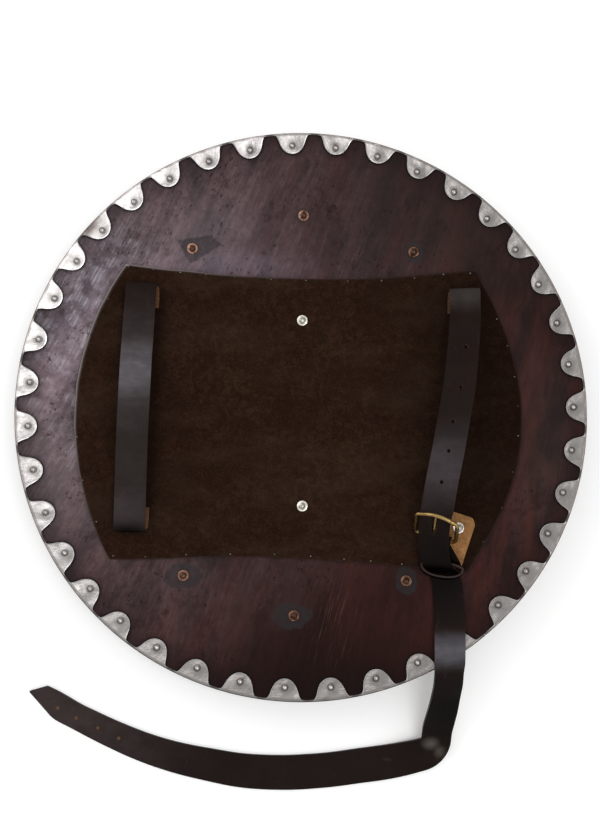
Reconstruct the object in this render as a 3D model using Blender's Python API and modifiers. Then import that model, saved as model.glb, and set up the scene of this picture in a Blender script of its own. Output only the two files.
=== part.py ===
"""Wooden round shield, lying on its domed front with the hollow back up.

A dished wooden board is edged with a steel strip whose scalloped tabs fold on to the back.
The back carries a leather pad, a riveted arm strap, and one long strap that runs through a
buckle and a keeper, over the rim and away across the floor.  Metres, +Z up, with the origin
in the middle of the small flat spot under the dome.
"""
import math

import bmesh
import bpy
from mathutils import Matrix, Vector

# Board: a slice of a hollow sphere
SHIELD_RADIUS = 0.305
DISH_DEPTH = 0.043
BOARD_THICKNESS = 0.011
FLAT_RADIUS = 0.040
BOARD_SIDES = 78
BACK_RINGS = 5
FRONT_RINGS = 4

# Steel rim
RIM_THICKNESS = 0.001
EDGE_GAP = 0.0005
TAB_GAP = 0.0008
TABS = 39
FIRST_TAB = math.radians(-1.95)
SEAM_TAB = 16
SEAM_EXTRA = math.radians(2.3)
SEAM_GAP = 0.0008
TAB_LENGTH = 0.0215
TAB_HALF_WIDTH = 0.0147
TAB_FULLNESS = 2.6
TAB_FLARE = 0.0070
TAB_FLARE_LENGTH = 0.0032
NOTCH_LIP = 0.0022
TAB_INSETS = (NOTCH_LIP, 0.0045, 0.0095, 0.0155, 0.0197)
FOLD_INSET = 0.0013
FOLD_DROP = 0.0008
FLANGE_WIDTH = 0.012
RIM_RIVET_INSET = 0.0135
RIM_RIVET_RADIUS = 0.0029
RIM_RIVET_HEIGHT = 0.0015
RIM_RIVET_SHOULDER = 0.72
RIM_RIVET_SIDES = 5

# Leather pad: each edge is a bow through two corners, drawn by two pulls between them
PAD_THICKNESS = 0.0018
PAD_GAP = 0.0008
PAD_CORNERS = {
    "top_left": (-0.1925, 0.1602),
    "top_right": (0.1912, 0.1550),
    "bottom_left": (-0.2030, -0.1597),
    "bottom_right": (0.1777, -0.1745),
}
PAD_PULLS = {
    "top": ((0.046, 0.1402), (0.109, 0.1521)),
    "bottom": ((-0.112, -0.1621), (-0.114, -0.1475)),
    "left": ((-0.251, -0.0787), (-0.270, 0.0502)),
    "right": ((0.184, -0.1482), (0.304, -0.0433)),
}
PAD_COLUMNS = 11
PAD_ROWS = 9

# Rivets through the board
RIVET_SIDES = 8
SHANK_RADIUS = 0.0021
HOLE_RADIUS = 0.0026
WASHER_RADIUS = 0.0061
WASHER_THICKNESS = 0.0011
HEAD_RADIUS = 0.0028
HEAD_HEIGHT = 0.0013
FRONT_HEAD_RADIUS = 0.0048
FRONT_HEAD_HEIGHT = 0.0016
REST_GAP = 0.0003
FACET_GAP = 0.0007
HOLE_BOTTOM = -1.5 * BOARD_THICKNESS
HOLE_CLEARANCE = 0.0012
BARE_HOLE_TOP = 0.004
RING_RIVETS = (
    (-0.1212, 0.1806),
    (0.0022, 0.2185),
    (0.1247, 0.1772),
    (0.1114, -0.1837),
    (-0.0089, -0.2199),
    (-0.1270, -0.1774),
)
CENTRE_RIVETS = ((0.0009, 0.1029), (0.0005, -0.1042))

# Straps
STRAP_THICKNESS = 0.0030
TAB_LEATHER = 0.0022
ARM_STRAP_WIDTH = 0.033
ARM_STRAP_MIDDLE = (-0.1790, 0.0045)
ARM_STRAP_TURN = math.radians(-1.8)
ARM_STRAP_RIVET = 0.117
STRAP_STEPS = 2
HOLE_PUNCH = 0.0021
PUNCH_BOTTOM = -0.02
PUNCH_TOP = 0.10
PRONG_SLOT_RADIUS = 0.0025
PRONG_SLOT_STRETCH = 2.6

# Half of the arm strap: distance from its middle, sideways slip of the folded end, and
# lift of its mid-surface off the board
ARM_STRAP_HALF = (
    (0.109, 0.0022, 0.0050),
    (0.122, 0.0022, 0.0050),
    (0.1305, 0.0018, 0.0054),
    (0.1340, 0.0009, 0.0080),
    (0.1300, 0.0, 0.0112),
    (0.118, 0.0, 0.0135),
    (0.095, 0.0, 0.0187),
    (0.060, 0.0, 0.0252),
    (0.025, 0.0, 0.0290),
)

# Long strap on the back: x, y, lift of its mid-surface, turn and roll in degrees, width
LONG_STRAP_BACK = (
    (0.1776, 0.1070, 0.0049, 0, 0, 0.033),
    (0.1776, 0.1190, 0.0049, 0, 0, 0.033),
    (0.1778, 0.1290, 0.0054, 0, 0, 0.033),
    (0.1785, 0.1325, 0.0080, 0, 0, 0.033),
    (0.1787, 0.1285, 0.0112, 0, 0, 0.033),
    (0.1783, 0.1172, 0.0140, -1, 0, 0.033),
    (0.1774, 0.0997, 0.0190, -3, 0, 0.033),
    (0.1736, 0.0662, 0.0275, -6, 0, 0.0335),
    (0.1674, 0.0217, 0.0335, -8, 0, 0.034),
    (0.1603, -0.0151, 0.0350, -9, 0, 0.034),
    (0.1544, -0.0463, 0.0345, -10, -2, 0.034),
    (0.1473, -0.0792, 0.0322, -11, -4, 0.034),
    (0.1430, -0.1038, 0.0290, -12, -5, 0.034),
    (0.1408, -0.1146, 0.0268, -13, -5, 0.033),
    (0.1398, -0.1241, 0.0238, -14, -5, 0.0325),
    (0.1390, -0.1347, 0.0204, -14, -5, 0.0325),
    (0.1390, -0.1452, 0.0186, -13, -4, 0.0325),
    (0.1396, -0.1555, 0.0172, -11, 0, 0.0325),
    (0.1402, -0.1612, 0.0168, -8, 0, 0.0325),
    (0.1429, -0.1659, 0.0157, -6, 2, 0.0322),
    (0.1467, -0.1700, 0.0108, -5, 3.5, 0.032),
    (0.1500, -0.1742, 0.0059, -5, 3, 0.032),
    (0.1527, -0.1815, 0.0041, -2, 3, 0.0315),
    (0.1540, -0.1915, 0.0034, 0, 1, 0.0315),
    (0.1543, -0.2079, 0.0030, 1, 0, 0.0315),
    (0.1539, -0.2279, 0.0044, 1, 0, 0.0315),
    (0.1525, -0.2500, 0.0056, 0, 3, 0.0315),
    (0.1515, -0.2630, 0.0062, -1, 8, 0.0315),
)

# The same strap beyond the rim: x, y, z, turn and roll in degrees, width
LONG_STRAP_FREE = (
    (0.1509, -0.2750, 0.0578, -2, 14, 0.0320),
    (0.1504, -0.2885, 0.0530, -3, 18, 0.0330),
    (0.1490, -0.3020, 0.0455, -4, 19, 0.0335),
    (0.1472, -0.3170, 0.0370, -6, 17, 0.034),
    (0.1454, -0.3290, 0.0295, -10, 15, 0.034),
    (0.1437, -0.3405, 0.0225, -16, 14, 0.034),
    (0.1428, -0.3530, 0.0165, -26, 14, 0.0355),
    (0.1397, -0.3624, 0.0115, -45, 20, 0.0375),
    (0.1330, -0.3684, 0.0085, -65, 16, 0.037),
    (0.1219, -0.3724, 0.0060, -77, 11, 0.036),
    (0.1040, -0.3768, 0.0036, -81, 5, 0.036),
    (0.0820, -0.3805, 0.0022, -83, 0, 0.036),
    (0.0590, -0.3834, 0.0015, -85, 0, 0.036),
    (0.0250, -0.3875, 0.0015, -88, 0, 0.036),
    (-0.0200, -0.3896, 0.0015, -91, 0, 0.0358),
    (-0.0620, -0.3875, 0.0015, -95, 0, 0.035),
    (-0.1030, -0.3804, 0.0015, -101, 0, 0.0335),
    (-0.1400, -0.3720, 0.0015, -106, 0, 0.0315),
    (-0.1740, -0.3610, 0.0015, -111, 0, 0.030),
    (-0.2050, -0.3480, 0.0015, -114, 0, 0.0285),
    (-0.2280, -0.3372, 0.0015, -116, 0, 0.0275),
    (-0.2500, -0.3262, 0.0015, -117, 0, 0.027),
)
# Its point: the two ends of the slanting cut, and the tip
STRAP_POINT = (
    (-0.2740, -0.3129, 0.0015, -82.5, 0, 0.0314),
    (-0.2946, -0.3030, 0.0015, -82.5, 0, 0.0012),
)
PUNCHED_HOLES = (
    (0.1763, 0.0660),
    (0.1692, 0.0217),
    (0.1603, -0.0151),
    (0.1549, -0.0463),
    (0.1470, -0.0791),
    (-0.2643, -0.3205),
    (-0.2440, -0.3311),
    (-0.2206, -0.3417),
    (-0.1978, -0.3529),
)
PRONG_SLOT_AT = (0.1393, -0.1262)
LONG_STRAP_RIVET = (0.1776, 0.1160)

# Buckle tab: flesh side up on the pad, folded back to the hinge bar
TAB_ROUTE = (
    (0.1722, -0.1134, 0.0049, -18.5, 0, 0.033),
    (0.1640, -0.1358, 0.0049, -20, 0, 0.033),
    (0.1575, -0.1530, 0.0048, -20.5, 0, 0.033),
    (0.1556, -0.1586, 0.0052, -20.5, 0, 0.033),
    (0.1547, -0.1610, 0.0077, -20.5, 0, 0.031),
    (0.1540, -0.1584, 0.0106, -20, 0, 0.0285),
    (0.1502, -0.1510, 0.0125, -18, -3, 0.0265),
)
TAB_RIVET = (0.1685, -0.1283)
TAB_HINGE_WIDTH = 0.0272
TAB_HINGE_OFFSET = 0.0042
TAB_LOOP_ANGLES = (-50, -18, 14, 46, 78, 110, 142, 174, 206)
TAB_SLOT = (0.0058, 0.0098, 0.0098)

# Buckle: a bent wire frame that leans up from its hinge bar
WIRE_RADIUS = 0.0018
PRONG_RADIUS = 0.0012
BUCKLE_AT = (0.1419, -0.1368)
BUCKLE_LIFT = 0.0115
BUCKLE_TURN = math.radians(-16.7)
BUCKLE_SLOPE = math.radians(18.0)
BUCKLE_RAISE = math.radians(53.0)
BUCKLE_WIDTH = 0.0446
BUCKLE_DEPTH = 0.0298
BUCKLE_CORNER = 0.0042
BUCKLE_BOW = 0.0044
CORNER_STEPS = 2
BOW_STEPS = 4
PRONG_OFFSET = -0.0018
PRONG_LOOP_START = 60
PRONG_LOOP_SWEEP = 270
PRONG_LOOP_STEPS = 7
# Along the prong's tongue: distance out from the hinge bar, and height over the frame
PRONG_TONGUE = ((0.0085, 0.0006), (0.0190, -0.0010), (0.0300, -0.0034))

# Keeper: an oval leather ring round the strap, flatter on its north side
KEEPER_AT = (0.1479, -0.1690)
KEEPER_LIFT = 0.0097
KEEPER_TURN = math.radians(-8.0)
KEEPER_SLOPE = math.radians(8.0)
KEEPER_TILT = math.radians(17.5)
KEEPER_THICKNESS = 0.0020
KEEPER_BAND = 0.0080
KEEPER_HALF_LENGTH = 0.0218
KEEPER_DEPTH_ABOVE = 0.0046
KEEPER_DEPTH_BELOW = 0.0108
KEEPER_SIDES = 24
KEEPER_SQUARENESS = 0.9

BACK_SPHERE = (SHIELD_RADIUS ** 2 + DISH_DEPTH ** 2) / (2 * DISH_DEPTH)
FRONT_SPHERE = BACK_SPHERE + BOARD_THICKNESS
CENTRE_HEIGHT = math.sqrt(FRONT_SPHERE ** 2 - FLAT_RADIUS ** 2)
BOARD_RADIUS = SHIELD_RADIUS - RIM_THICKNESS - EDGE_GAP
PAD_TOP_LIFT = PAD_GAP + PAD_THICKNESS
STRAP_END_TOP = ARM_STRAP_HALF[0][2] + STRAP_THICKNESS / 2 + REST_GAP
TAB_TOP = TAB_ROUTE[0][2] + TAB_LEATHER / 2 + REST_GAP
TAB_PITCH = (2 * math.pi - SEAM_EXTRA) / TABS


# ---------------------------------------------------------------- the dished surface

def back_height(radius, lift=0.0):
    """Height of the board's hollow back, raised by lift along its normal."""
    return CENTRE_HEIGHT - math.sqrt((BACK_SPHERE - lift) ** 2 - radius ** 2)


def front_height(radius, drop=0.0):
    """Height of the board's domed front, lowered by drop along its normal."""
    return CENTRE_HEIGHT - math.sqrt((FRONT_SPHERE + drop) ** 2 - radius ** 2)


def on_back(x, y, lift):
    return Vector((x, y, back_height(math.hypot(x, y), lift)))


def polar(radius, clockwise):
    """Plan position at an angle measured clockwise from +Y."""
    return radius * math.sin(clockwise), radius * math.cos(clockwise)


def stand_on_back(x, y, lift):
    """Frame on the hollow back whose Z is the surface's own normal."""
    point = on_back(x, y, lift)
    normal = (Vector((0, 0, CENTRE_HEIGHT)) - point).normalized()
    across = Vector((0, 1, 0)).cross(normal).normalized()
    frame = Matrix((across, normal.cross(across), normal)).transposed().to_4x4()
    frame.translation = point
    return frame


# ---------------------------------------------------------------- materials

def material(name, colour, roughness, metallic=0.0):
    made = bpy.data.materials.get(name)
    if made is None:
        made = bpy.data.materials.new(name)
        made.use_nodes = True
        shader = made.node_tree.nodes["Principled BSDF"]
        shader.inputs["Base Color"].default_value = (*colour, 1.0)
        shader.inputs["Roughness"].default_value = roughness
        shader.inputs["Metallic"].default_value = metallic
    return made


def wood():
    return material("stained_wood", (0.055, 0.028, 0.026), 0.38)


def steel():
    return material("rim_steel", (0.62, 0.60, 0.57), 0.36, 1.0)


def suede():
    return material("pad_suede", (0.050, 0.030, 0.018), 0.85)


def strap_leather():
    return material("strap_leather", (0.035, 0.026, 0.022), 0.42)


def raw_leather():
    return material("raw_leather", (0.42, 0.27, 0.15), 0.80)


def brass():
    return material("old_brass", (0.38, 0.25, 0.09), 0.34, 1.0)


def copper():
    return material("old_copper", (0.42, 0.17, 0.09), 0.38, 1.0)


def nickel():
    return material("bright_nickel", (0.74, 0.71, 0.65), 0.28, 1.0)


# ---------------------------------------------------------------- modelling helpers

def new_object(name, data, finish, collection):
    made = bpy.data.objects.new(name, data)
    if finish is not None:
        data.materials.append(finish)
    collection.objects.link(made)
    return made


def mesh_object(name, bm, finish, collection):
    mesh = bpy.data.meshes.new(name)
    bm.to_mesh(mesh)
    bm.free()
    return new_object(name, mesh, finish, collection)


def add_wall(made, thickness):
    wall = made.modifiers.new("wall", "SOLIDIFY")
    wall.thickness = thickness
    wall.offset = 0.0
    wall.use_even_offset = True


def add_cut(made, cutter):
    cut = made.modifiers.new("cut_" + cutter.name, "BOOLEAN")
    cut.operation = "DIFFERENCE"
    cut.solver = "EXACT"
    cut.object = cutter


def turned(name, profile, sides, finish, collection):
    """A profile of (radius, height) points, from the top down its outer side, spun about Z."""
    bm = bmesh.new()
    points = [bm.verts.new((radius, 0.0, height)) for radius, height in profile]
    for first, second in zip(points, points[1:]):
        bm.edges.new((first, second))
    made = mesh_object(name, bm, finish, collection)
    turn = made.modifiers.new("turn", "SCREW")
    turn.axis = "Z"
    turn.steps = sides
    turn.render_steps = sides
    turn.use_merge_vertices = True
    turn.merge_threshold = 0.00001
    return made


def wire(name, points, radius, closed, finish, collection):
    """A round wire along local points, made a mesh with its caps welded."""
    curve = bpy.data.curves.new(name + "_route", "CURVE")
    curve.dimensions = "3D"
    curve.bevel_depth = radius
    curve.bevel_resolution = 2
    curve.use_fill_caps = not closed
    line = curve.splines.new("POLY")
    line.points.add(len(points) - 1)
    for point, place in zip(line.points, points):
        point.co = (*place, 1.0)
    line.use_cyclic_u = closed
    guide = bpy.data.objects.new(name + "_route", curve)
    collection.objects.link(guide)
    bpy.context.view_layer.update()
    evaluated = guide.evaluated_get(bpy.context.evaluated_depsgraph_get())
    mesh = bpy.data.meshes.new_from_object(evaluated)
    bpy.data.objects.remove(guide)
    bm = bmesh.new()
    bm.from_mesh(mesh)
    bmesh.ops.remove_doubles(bm, verts=bm.verts, dist=0.00001)
    bm.to_mesh(mesh)
    bm.free()
    mesh.name = name
    mesh.materials.clear()
    return new_object(name, mesh, finish, collection)


def smooth_route(stops, steps):
    """Catmull-Rom curve through tuples of any length, with steps points a span."""
    route = []
    last = len(stops) - 1
    for index in range(last):
        corners = (
            stops[max(index - 1, 0)],
            stops[index],
            stops[index + 1],
            stops[min(index + 2, last)],
        )
        for step in range(steps):
            t = step / steps
            weights = (
                (-t + 2 * t ** 2 - t ** 3) / 2,
                (2 - 5 * t ** 2 + 3 * t ** 3) / 2,
                (t + 4 * t ** 2 - 3 * t ** 3) / 2,
                (-t ** 2 + t ** 3) / 2,
            )
            route.append(tuple(
                sum(weight * value for weight, value in zip(weights, values))
                for values in zip(*corners)
            ))
    route.append(stops[-1])
    return route


def back_stop(x, y, lift, turn, roll, width):
    """A stop on the hollow back, given as a free one: its roll follows the dish."""
    point = on_back(x, y, lift)
    heading = math.radians(turn)
    slope = (x * math.cos(heading) + y * math.sin(heading)) / (CENTRE_HEIGHT - point.z)
    return x, y, point.z, turn, roll - math.degrees(math.atan(slope)), width


def station(x, y, z, turn, roll, width):
    """Centre of a strap and the vector across it; roll lowers its right edge."""
    heading = math.radians(turn)
    bank = math.radians(roll)
    across = Vector((
        math.cos(heading) * math.cos(bank),
        math.sin(heading) * math.cos(bank),
        -math.sin(bank),
    ))
    return Vector((x, y, z)), across * width


def ribbon(name, stations, thickness, finish, collection):
    """A flat strap: a narrow grid whose rows are laid on the stations, then walled."""
    bm = bmesh.new()
    spans = len(stations) - 1
    bmesh.ops.create_grid(bm, x_segments=1, y_segments=spans, size=1.0)
    for vert in bm.verts:
        centre, across = stations[round((1 - vert.co.y) / 2 * spans)]
        vert.co = centre + across * (vert.co.x / 2)
    made = mesh_object(name, bm, finish, collection)
    add_wall(made, thickness)
    return made


def round_cutter(bm, radius, low, high, frame, stretch=1.0):
    """A cylinder from low to high on a frame's Z, added to a cutter's mesh."""
    shape = Matrix.Translation((0, 0, (low + high) / 2)) @ Matrix.Diagonal((1, stretch, 1, 1))
    bmesh.ops.create_cone(
        bm, cap_ends=True, segments=RIVET_SIDES, radius1=radius, radius2=radius,
        depth=high - low, matrix=frame @ shape,
    )


# ---------------------------------------------------------------- board and rim

def make_board(parts, rivet_holes):
    """The wooden board: hollow back, plain edge, domed front with its flat spot."""
    back = [
        (BOARD_RADIUS * ring / BACK_RINGS, back_height(BOARD_RADIUS * ring / BACK_RINGS))
        for ring in range(BACK_RINGS + 1)
    ]
    reach = BOARD_RADIUS - FLAT_RADIUS
    radii = [BOARD_RADIUS - reach * ring / FRONT_RINGS for ring in range(FRONT_RINGS + 1)]
    front = [(radius, front_height(radius)) for radius in radii]
    profile = back + front + [(0.0, front[-1][1])]
    board = turned("board", profile, BOARD_SIDES, wood(), parts)
    add_cut(board, rivet_holes)
    return board


def tab_angle(index):
    extra = SEAM_EXTRA if index >= SEAM_TAB else 0.0
    return FIRST_TAB + index * TAB_PITCH + extra


def tab_half_width(inset):
    """Half of a tab's width at a distance in from the rim's outer edge."""
    rounded = TAB_HALF_WIDTH * math.sqrt(1 - (inset / TAB_LENGTH) ** TAB_FULLNESS)
    return rounded + TAB_FLARE * math.exp(-inset / TAB_FLARE_LENGTH)


def tab_outline(index):
    """Plan points of one tab, clockwise from its root round its tip to its root."""
    side = [(inset, tab_half_width(inset)) for inset in TAB_INSETS]
    points = [(inset, -half) for inset, half in side]
    points.append((TAB_LENGTH, 0.0))
    points += [(inset, half) for inset, half in reversed(side)]
    angle = tab_angle(index)
    out = Vector(polar(1.0, angle))
    along = Vector(polar(1.0, angle + math.pi / 2))
    return [out * math.sqrt((SHIELD_RADIUS - inset) ** 2 - half ** 2) + along * half
            for inset, half in points]


def make_rim(parts):
    """The steel strip: tabs on the back, a fold, the outer wall and a flange in front."""
    seam = (tab_angle(SEAM_TAB) + tab_angle(SEAM_TAB - 1)) / 2
    gap = SEAM_GAP / SHIELD_RADIUS
    sweep = 2 * math.pi - gap
    outer = [seam + gap / 2 + sweep * step / BOARD_SIDES for step in range(BOARD_SIDES + 1)]
    fold = [Vector(polar(SHIELD_RADIUS - FOLD_INSET, angle)) for angle in outer]
    lip = SHIELD_RADIUS - NOTCH_LIP
    inner = [Vector(polar(lip, outer[0]))]
    for order in range(TABS):
        inner += tab_outline((SEAM_TAB + order) % TABS)
    inner.append(Vector(polar(lip, outer[-1])))
    bm = bmesh.new()
    loop = [bm.verts.new((*place, 0.0)) for place in fold + inner[::-1]]
    edges = [bm.edges.new((vert, loop[index - 1])) for index, vert in enumerate(loop)]
    bmesh.ops.triangle_fill(bm, edges=edges, use_beauty=True, normal=(0, 0, 1))
    middle = TAB_GAP + RIM_THICKNESS / 2
    for vert in bm.verts:
        vert.co.z = back_height(vert.co.xy.length, middle)
    leading = edges[1:len(fold)]
    wall = SHIELD_RADIUS - RIM_THICKNESS / 2
    corner = back_height(SHIELD_RADIUS, middle)
    foot = front_height(SHIELD_RADIUS, middle)
    flange = SHIELD_RADIUS - FLANGE_WIDTH
    rings = (
        (wall, corner - FOLD_DROP),
        (wall, foot),
        (flange, front_height(flange, middle)),
    )
    for radius, height in rings:
        grown = bmesh.ops.extrude_edge_only(bm, edges=leading)["geom"]
        leading = [item for item in grown if isinstance(item, bmesh.types.BMEdge)]
        for vert in {vert for edge in leading for vert in edge.verts}:
            vert.co.xy = vert.co.xy.normalized() * radius
            vert.co.z = height
    bmesh.ops.recalc_face_normals(bm, faces=bm.faces)
    rim = mesh_object("rim", bm, steel(), parts)
    add_wall(rim, RIM_THICKNESS)
    return rim


def make_rim_rivets(parts):
    """One small domed head on every tab."""
    profile = (
        (0.0, RIM_RIVET_HEIGHT),
        (RIM_RIVET_RADIUS * RIM_RIVET_SHOULDER, RIM_RIVET_HEIGHT * RIM_RIVET_SHOULDER),
        (RIM_RIVET_RADIUS, 0.0),
        (0.0, 0.0),
    )
    lift = TAB_GAP + RIM_THICKNESS + REST_GAP
    for index in range(TABS):
        name = f"rim_rivet_{index + 1:02d}"
        rivet = turned(name, profile, RIM_RIVET_SIDES, steel(), parts)
        place = polar(SHIELD_RADIUS - RIM_RIVET_INSET, tab_angle(index))
        rivet.matrix_world = stand_on_back(*place, lift)


# ---------------------------------------------------------------- pad

def bow(first, pulls, last, t):
    """A cubic curve from first to last, drawn towards two pulls."""
    near, far = pulls
    return (Vector(first) * (1 - t) ** 3 + Vector(near) * 3 * t * (1 - t) ** 2
            + Vector(far) * 3 * t ** 2 * (1 - t) + Vector(last) * t ** 3)


def pad_point(u, v):
    """A point of the pad's plan: u from left to right, v from bottom to top."""
    corner = PAD_CORNERS
    top = bow(corner["top_left"], PAD_PULLS["top"], corner["top_right"], u)
    bottom = bow(corner["bottom_left"], PAD_PULLS["bottom"], corner["bottom_right"], u)
    left = bow(corner["bottom_left"], PAD_PULLS["left"], corner["top_left"], v)
    right = bow(corner["bottom_right"], PAD_PULLS["right"], corner["top_right"], v)
    low = Vector(corner["bottom_left"]) * (1 - u) + Vector(corner["bottom_right"]) * u
    high = Vector(corner["top_left"]) * (1 - u) + Vector(corner["top_right"]) * u
    return bottom * (1 - v) + top * v + left * (1 - u) + right * u - low * (1 - v) - high * v


def make_pad(parts, rivet_holes):
    """The leather lining: a barrel-shaped sheet laid in the dish."""
    bm = bmesh.new()
    bmesh.ops.create_grid(bm, x_segments=PAD_COLUMNS, y_segments=PAD_ROWS, size=1.0)
    for vert in bm.verts:
        plan = pad_point((vert.co.x + 1) / 2, (vert.co.y + 1) / 2)
        vert.co = on_back(*plan, PAD_GAP + PAD_THICKNESS / 2)
    pad = mesh_object("pad", bm, suede(), parts)
    add_wall(pad, PAD_THICKNESS)
    add_cut(pad, rivet_holes)
    return pad


# ---------------------------------------------------------------- rivets

def arm_strap_rivet_places():
    run = Vector((-math.sin(ARM_STRAP_TURN), math.cos(ARM_STRAP_TURN)))
    middle = Vector(ARM_STRAP_MIDDLE)
    return [tuple(middle + run * ARM_STRAP_RIVET * side) for side in (1, -1)]


def washer_rivet(name, place, lift, finish, parts):
    """A rivet through the board, with a washer under its hammered end on the back."""
    under = -BOARD_THICKNESS - REST_GAP
    top = lift + WASHER_THICKNESS
    profile = (
        (0.0, top + HEAD_HEIGHT),
        (HEAD_RADIUS, top),
        (WASHER_RADIUS, top),
        (WASHER_RADIUS, lift),
        (SHANK_RADIUS, lift),
        (SHANK_RADIUS, under),
        (FRONT_HEAD_RADIUS, under),
        (0.0, under - FRONT_HEAD_HEIGHT),
    )
    rivet = turned(name, profile, RIVET_SIDES, finish, parts)
    rivet.matrix_world = stand_on_back(*place, 0.0)


def plain_rivet(name, place, lift, finish, parts):
    """A rivet through the board whose low head sits on a strap's folded end."""
    under = -BOARD_THICKNESS - REST_GAP
    profile = (
        (0.0, lift + HEAD_HEIGHT),
        (FRONT_HEAD_RADIUS, lift),
        (SHANK_RADIUS, lift),
        (SHANK_RADIUS, under),
        (FRONT_HEAD_RADIUS, under),
        (0.0, under - FRONT_HEAD_HEIGHT),
    )
    rivet = turned(name, profile, RIVET_SIDES, finish, parts)
    rivet.matrix_world = stand_on_back(*place, 0.0)


def make_rivets(parts):
    for index, place in enumerate(RING_RIVETS):
        washer_rivet(f"ring_rivet_{index + 1}", place, FACET_GAP, copper(), parts)
    for index, place in enumerate(CENTRE_RIVETS):
        lift = PAD_TOP_LIFT + FACET_GAP
        washer_rivet(f"centre_rivet_{index + 1}", place, lift, nickel(), parts)
    strap_places = arm_strap_rivet_places() + [LONG_STRAP_RIVET]
    for index, place in enumerate(strap_places):
        plain_rivet(f"strap_rivet_{index + 1}", place, STRAP_END_TOP, copper(), parts)
    washer_rivet("tab_rivet", TAB_RIVET, TAB_TOP, nickel(), parts)


def make_rivet_holes(cutters):
    """One cutter for every rivet's way through the board, the pad and the leather."""
    bm = bmesh.new()
    reaches = (
        (RING_RIVETS, BARE_HOLE_TOP),
        (CENTRE_RIVETS, PAD_TOP_LIFT * 2),
        (arm_strap_rivet_places() + [LONG_STRAP_RIVET], STRAP_END_TOP + HOLE_CLEARANCE),
        ([TAB_RIVET], TAB_TOP + HOLE_CLEARANCE),
    )
    for places, high in reaches:
        for place in places:
            round_cutter(bm, HOLE_RADIUS, HOLE_BOTTOM, high, stand_on_back(*place, 0.0))
    return mesh_object("rivet_holes", bm, None, cutters)


# ---------------------------------------------------------------- straps

def make_arm_strap(parts, rivet_holes):
    """The left strap: both ends folded under it, its middle arched for the forearm."""
    run = Vector((-math.sin(ARM_STRAP_TURN), math.cos(ARM_STRAP_TURN)))
    aside = Vector((math.cos(ARM_STRAP_TURN), math.sin(ARM_STRAP_TURN)))
    turn = math.degrees(ARM_STRAP_TURN)
    stops = []
    for side, half in ((1, ARM_STRAP_HALF), (-1, reversed(ARM_STRAP_HALF))):
        for distance, slip, lift in half:
            place = Vector(ARM_STRAP_MIDDLE) + run * distance * side + aside * slip
            stops.append(back_stop(*place, lift, turn, 0, ARM_STRAP_WIDTH))
    stations = [station(*stop) for stop in smooth_route(stops, STRAP_STEPS)]
    strap = ribbon("arm_strap", stations, STRAP_THICKNESS, strap_leather(), parts)
    add_cut(strap, rivet_holes)


def make_punches(cutters):
    """Upright punches for the long strap's holes and the prong's slot."""
    bm = bmesh.new()
    for place in PUNCHED_HOLES:
        upright = Matrix.Translation((*place, 0.0))
        round_cutter(bm, HOLE_PUNCH, PUNCH_BOTTOM, PUNCH_TOP, upright)
    slot = Matrix.Translation((*PRONG_SLOT_AT, 0.0)) @ Matrix.Rotation(BUCKLE_TURN / 2, 4, "Z")
    round_cutter(bm, PRONG_SLOT_RADIUS, PUNCH_BOTTOM, PUNCH_TOP, slot, PRONG_SLOT_STRETCH)
    return mesh_object("punches", bm, None, cutters)


def make_long_strap(parts, rivet_holes, punches):
    """The right strap and its long free end, as one piece of leather."""
    stops = [back_stop(*stop) for stop in LONG_STRAP_BACK]
    stops += LONG_STRAP_FREE + STRAP_POINT[:1]
    route = smooth_route(stops, STRAP_STEPS) + [STRAP_POINT[1]]
    stations = [station(*stop) for stop in route]
    strap = ribbon("long_strap", stations, STRAP_THICKNESS, strap_leather(), parts)
    add_cut(strap, rivet_holes)
    add_cut(strap, punches)


def buckle_frame():
    """Frame of the buckle: X along its hinge bar, Y out to its outer bar."""
    lean = (Matrix.Rotation(BUCKLE_TURN, 4, "Z") @ Matrix.Rotation(-BUCKLE_SLOPE, 4, "Y")
            @ Matrix.Rotation(BUCKLE_RAISE, 4, "X"))
    return Matrix.Translation(on_back(*BUCKLE_AT, BUCKLE_LIFT)) @ lean


def make_buckle_tab(parts, cutters, rivet_holes):
    """The short tab: riveted flat, folded back over itself and round the hinge bar."""
    stops = [station(*back_stop(*stop)) for stop in smooth_route(TAB_ROUTE, STRAP_STEPS)]
    frame = buckle_frame()
    along = frame.col[0].xyz.normalized()
    loop_radius = WIRE_RADIUS + REST_GAP + TAB_LEATHER / 2
    middle = frame.translation + along * TAB_HINGE_OFFSET
    ahead = Vector((-along.y, along.x, 0.0)).normalized()
    above = along.cross(ahead)
    for degrees in TAB_LOOP_ANGLES:
        angle = math.radians(degrees)
        reach = ahead * math.sin(angle) + above * math.cos(angle)
        stops.append((middle + reach * loop_radius, along * TAB_HINGE_WIDTH))
    tab = ribbon("buckle_tab", stops, TAB_LEATHER, raw_leather(), parts)
    bm = bmesh.new()
    bmesh.ops.create_cube(bm, size=1.0)
    bmesh.ops.scale(bm, vec=TAB_SLOT, verts=bm.verts)
    bmesh.ops.translate(bm, vec=(PRONG_OFFSET, 0.0, 0.0), verts=bm.verts)
    bm.transform(frame)
    slot = mesh_object("prong_slot", bm, None, cutters)
    add_cut(tab, rivet_holes)
    add_cut(tab, slot)


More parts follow.
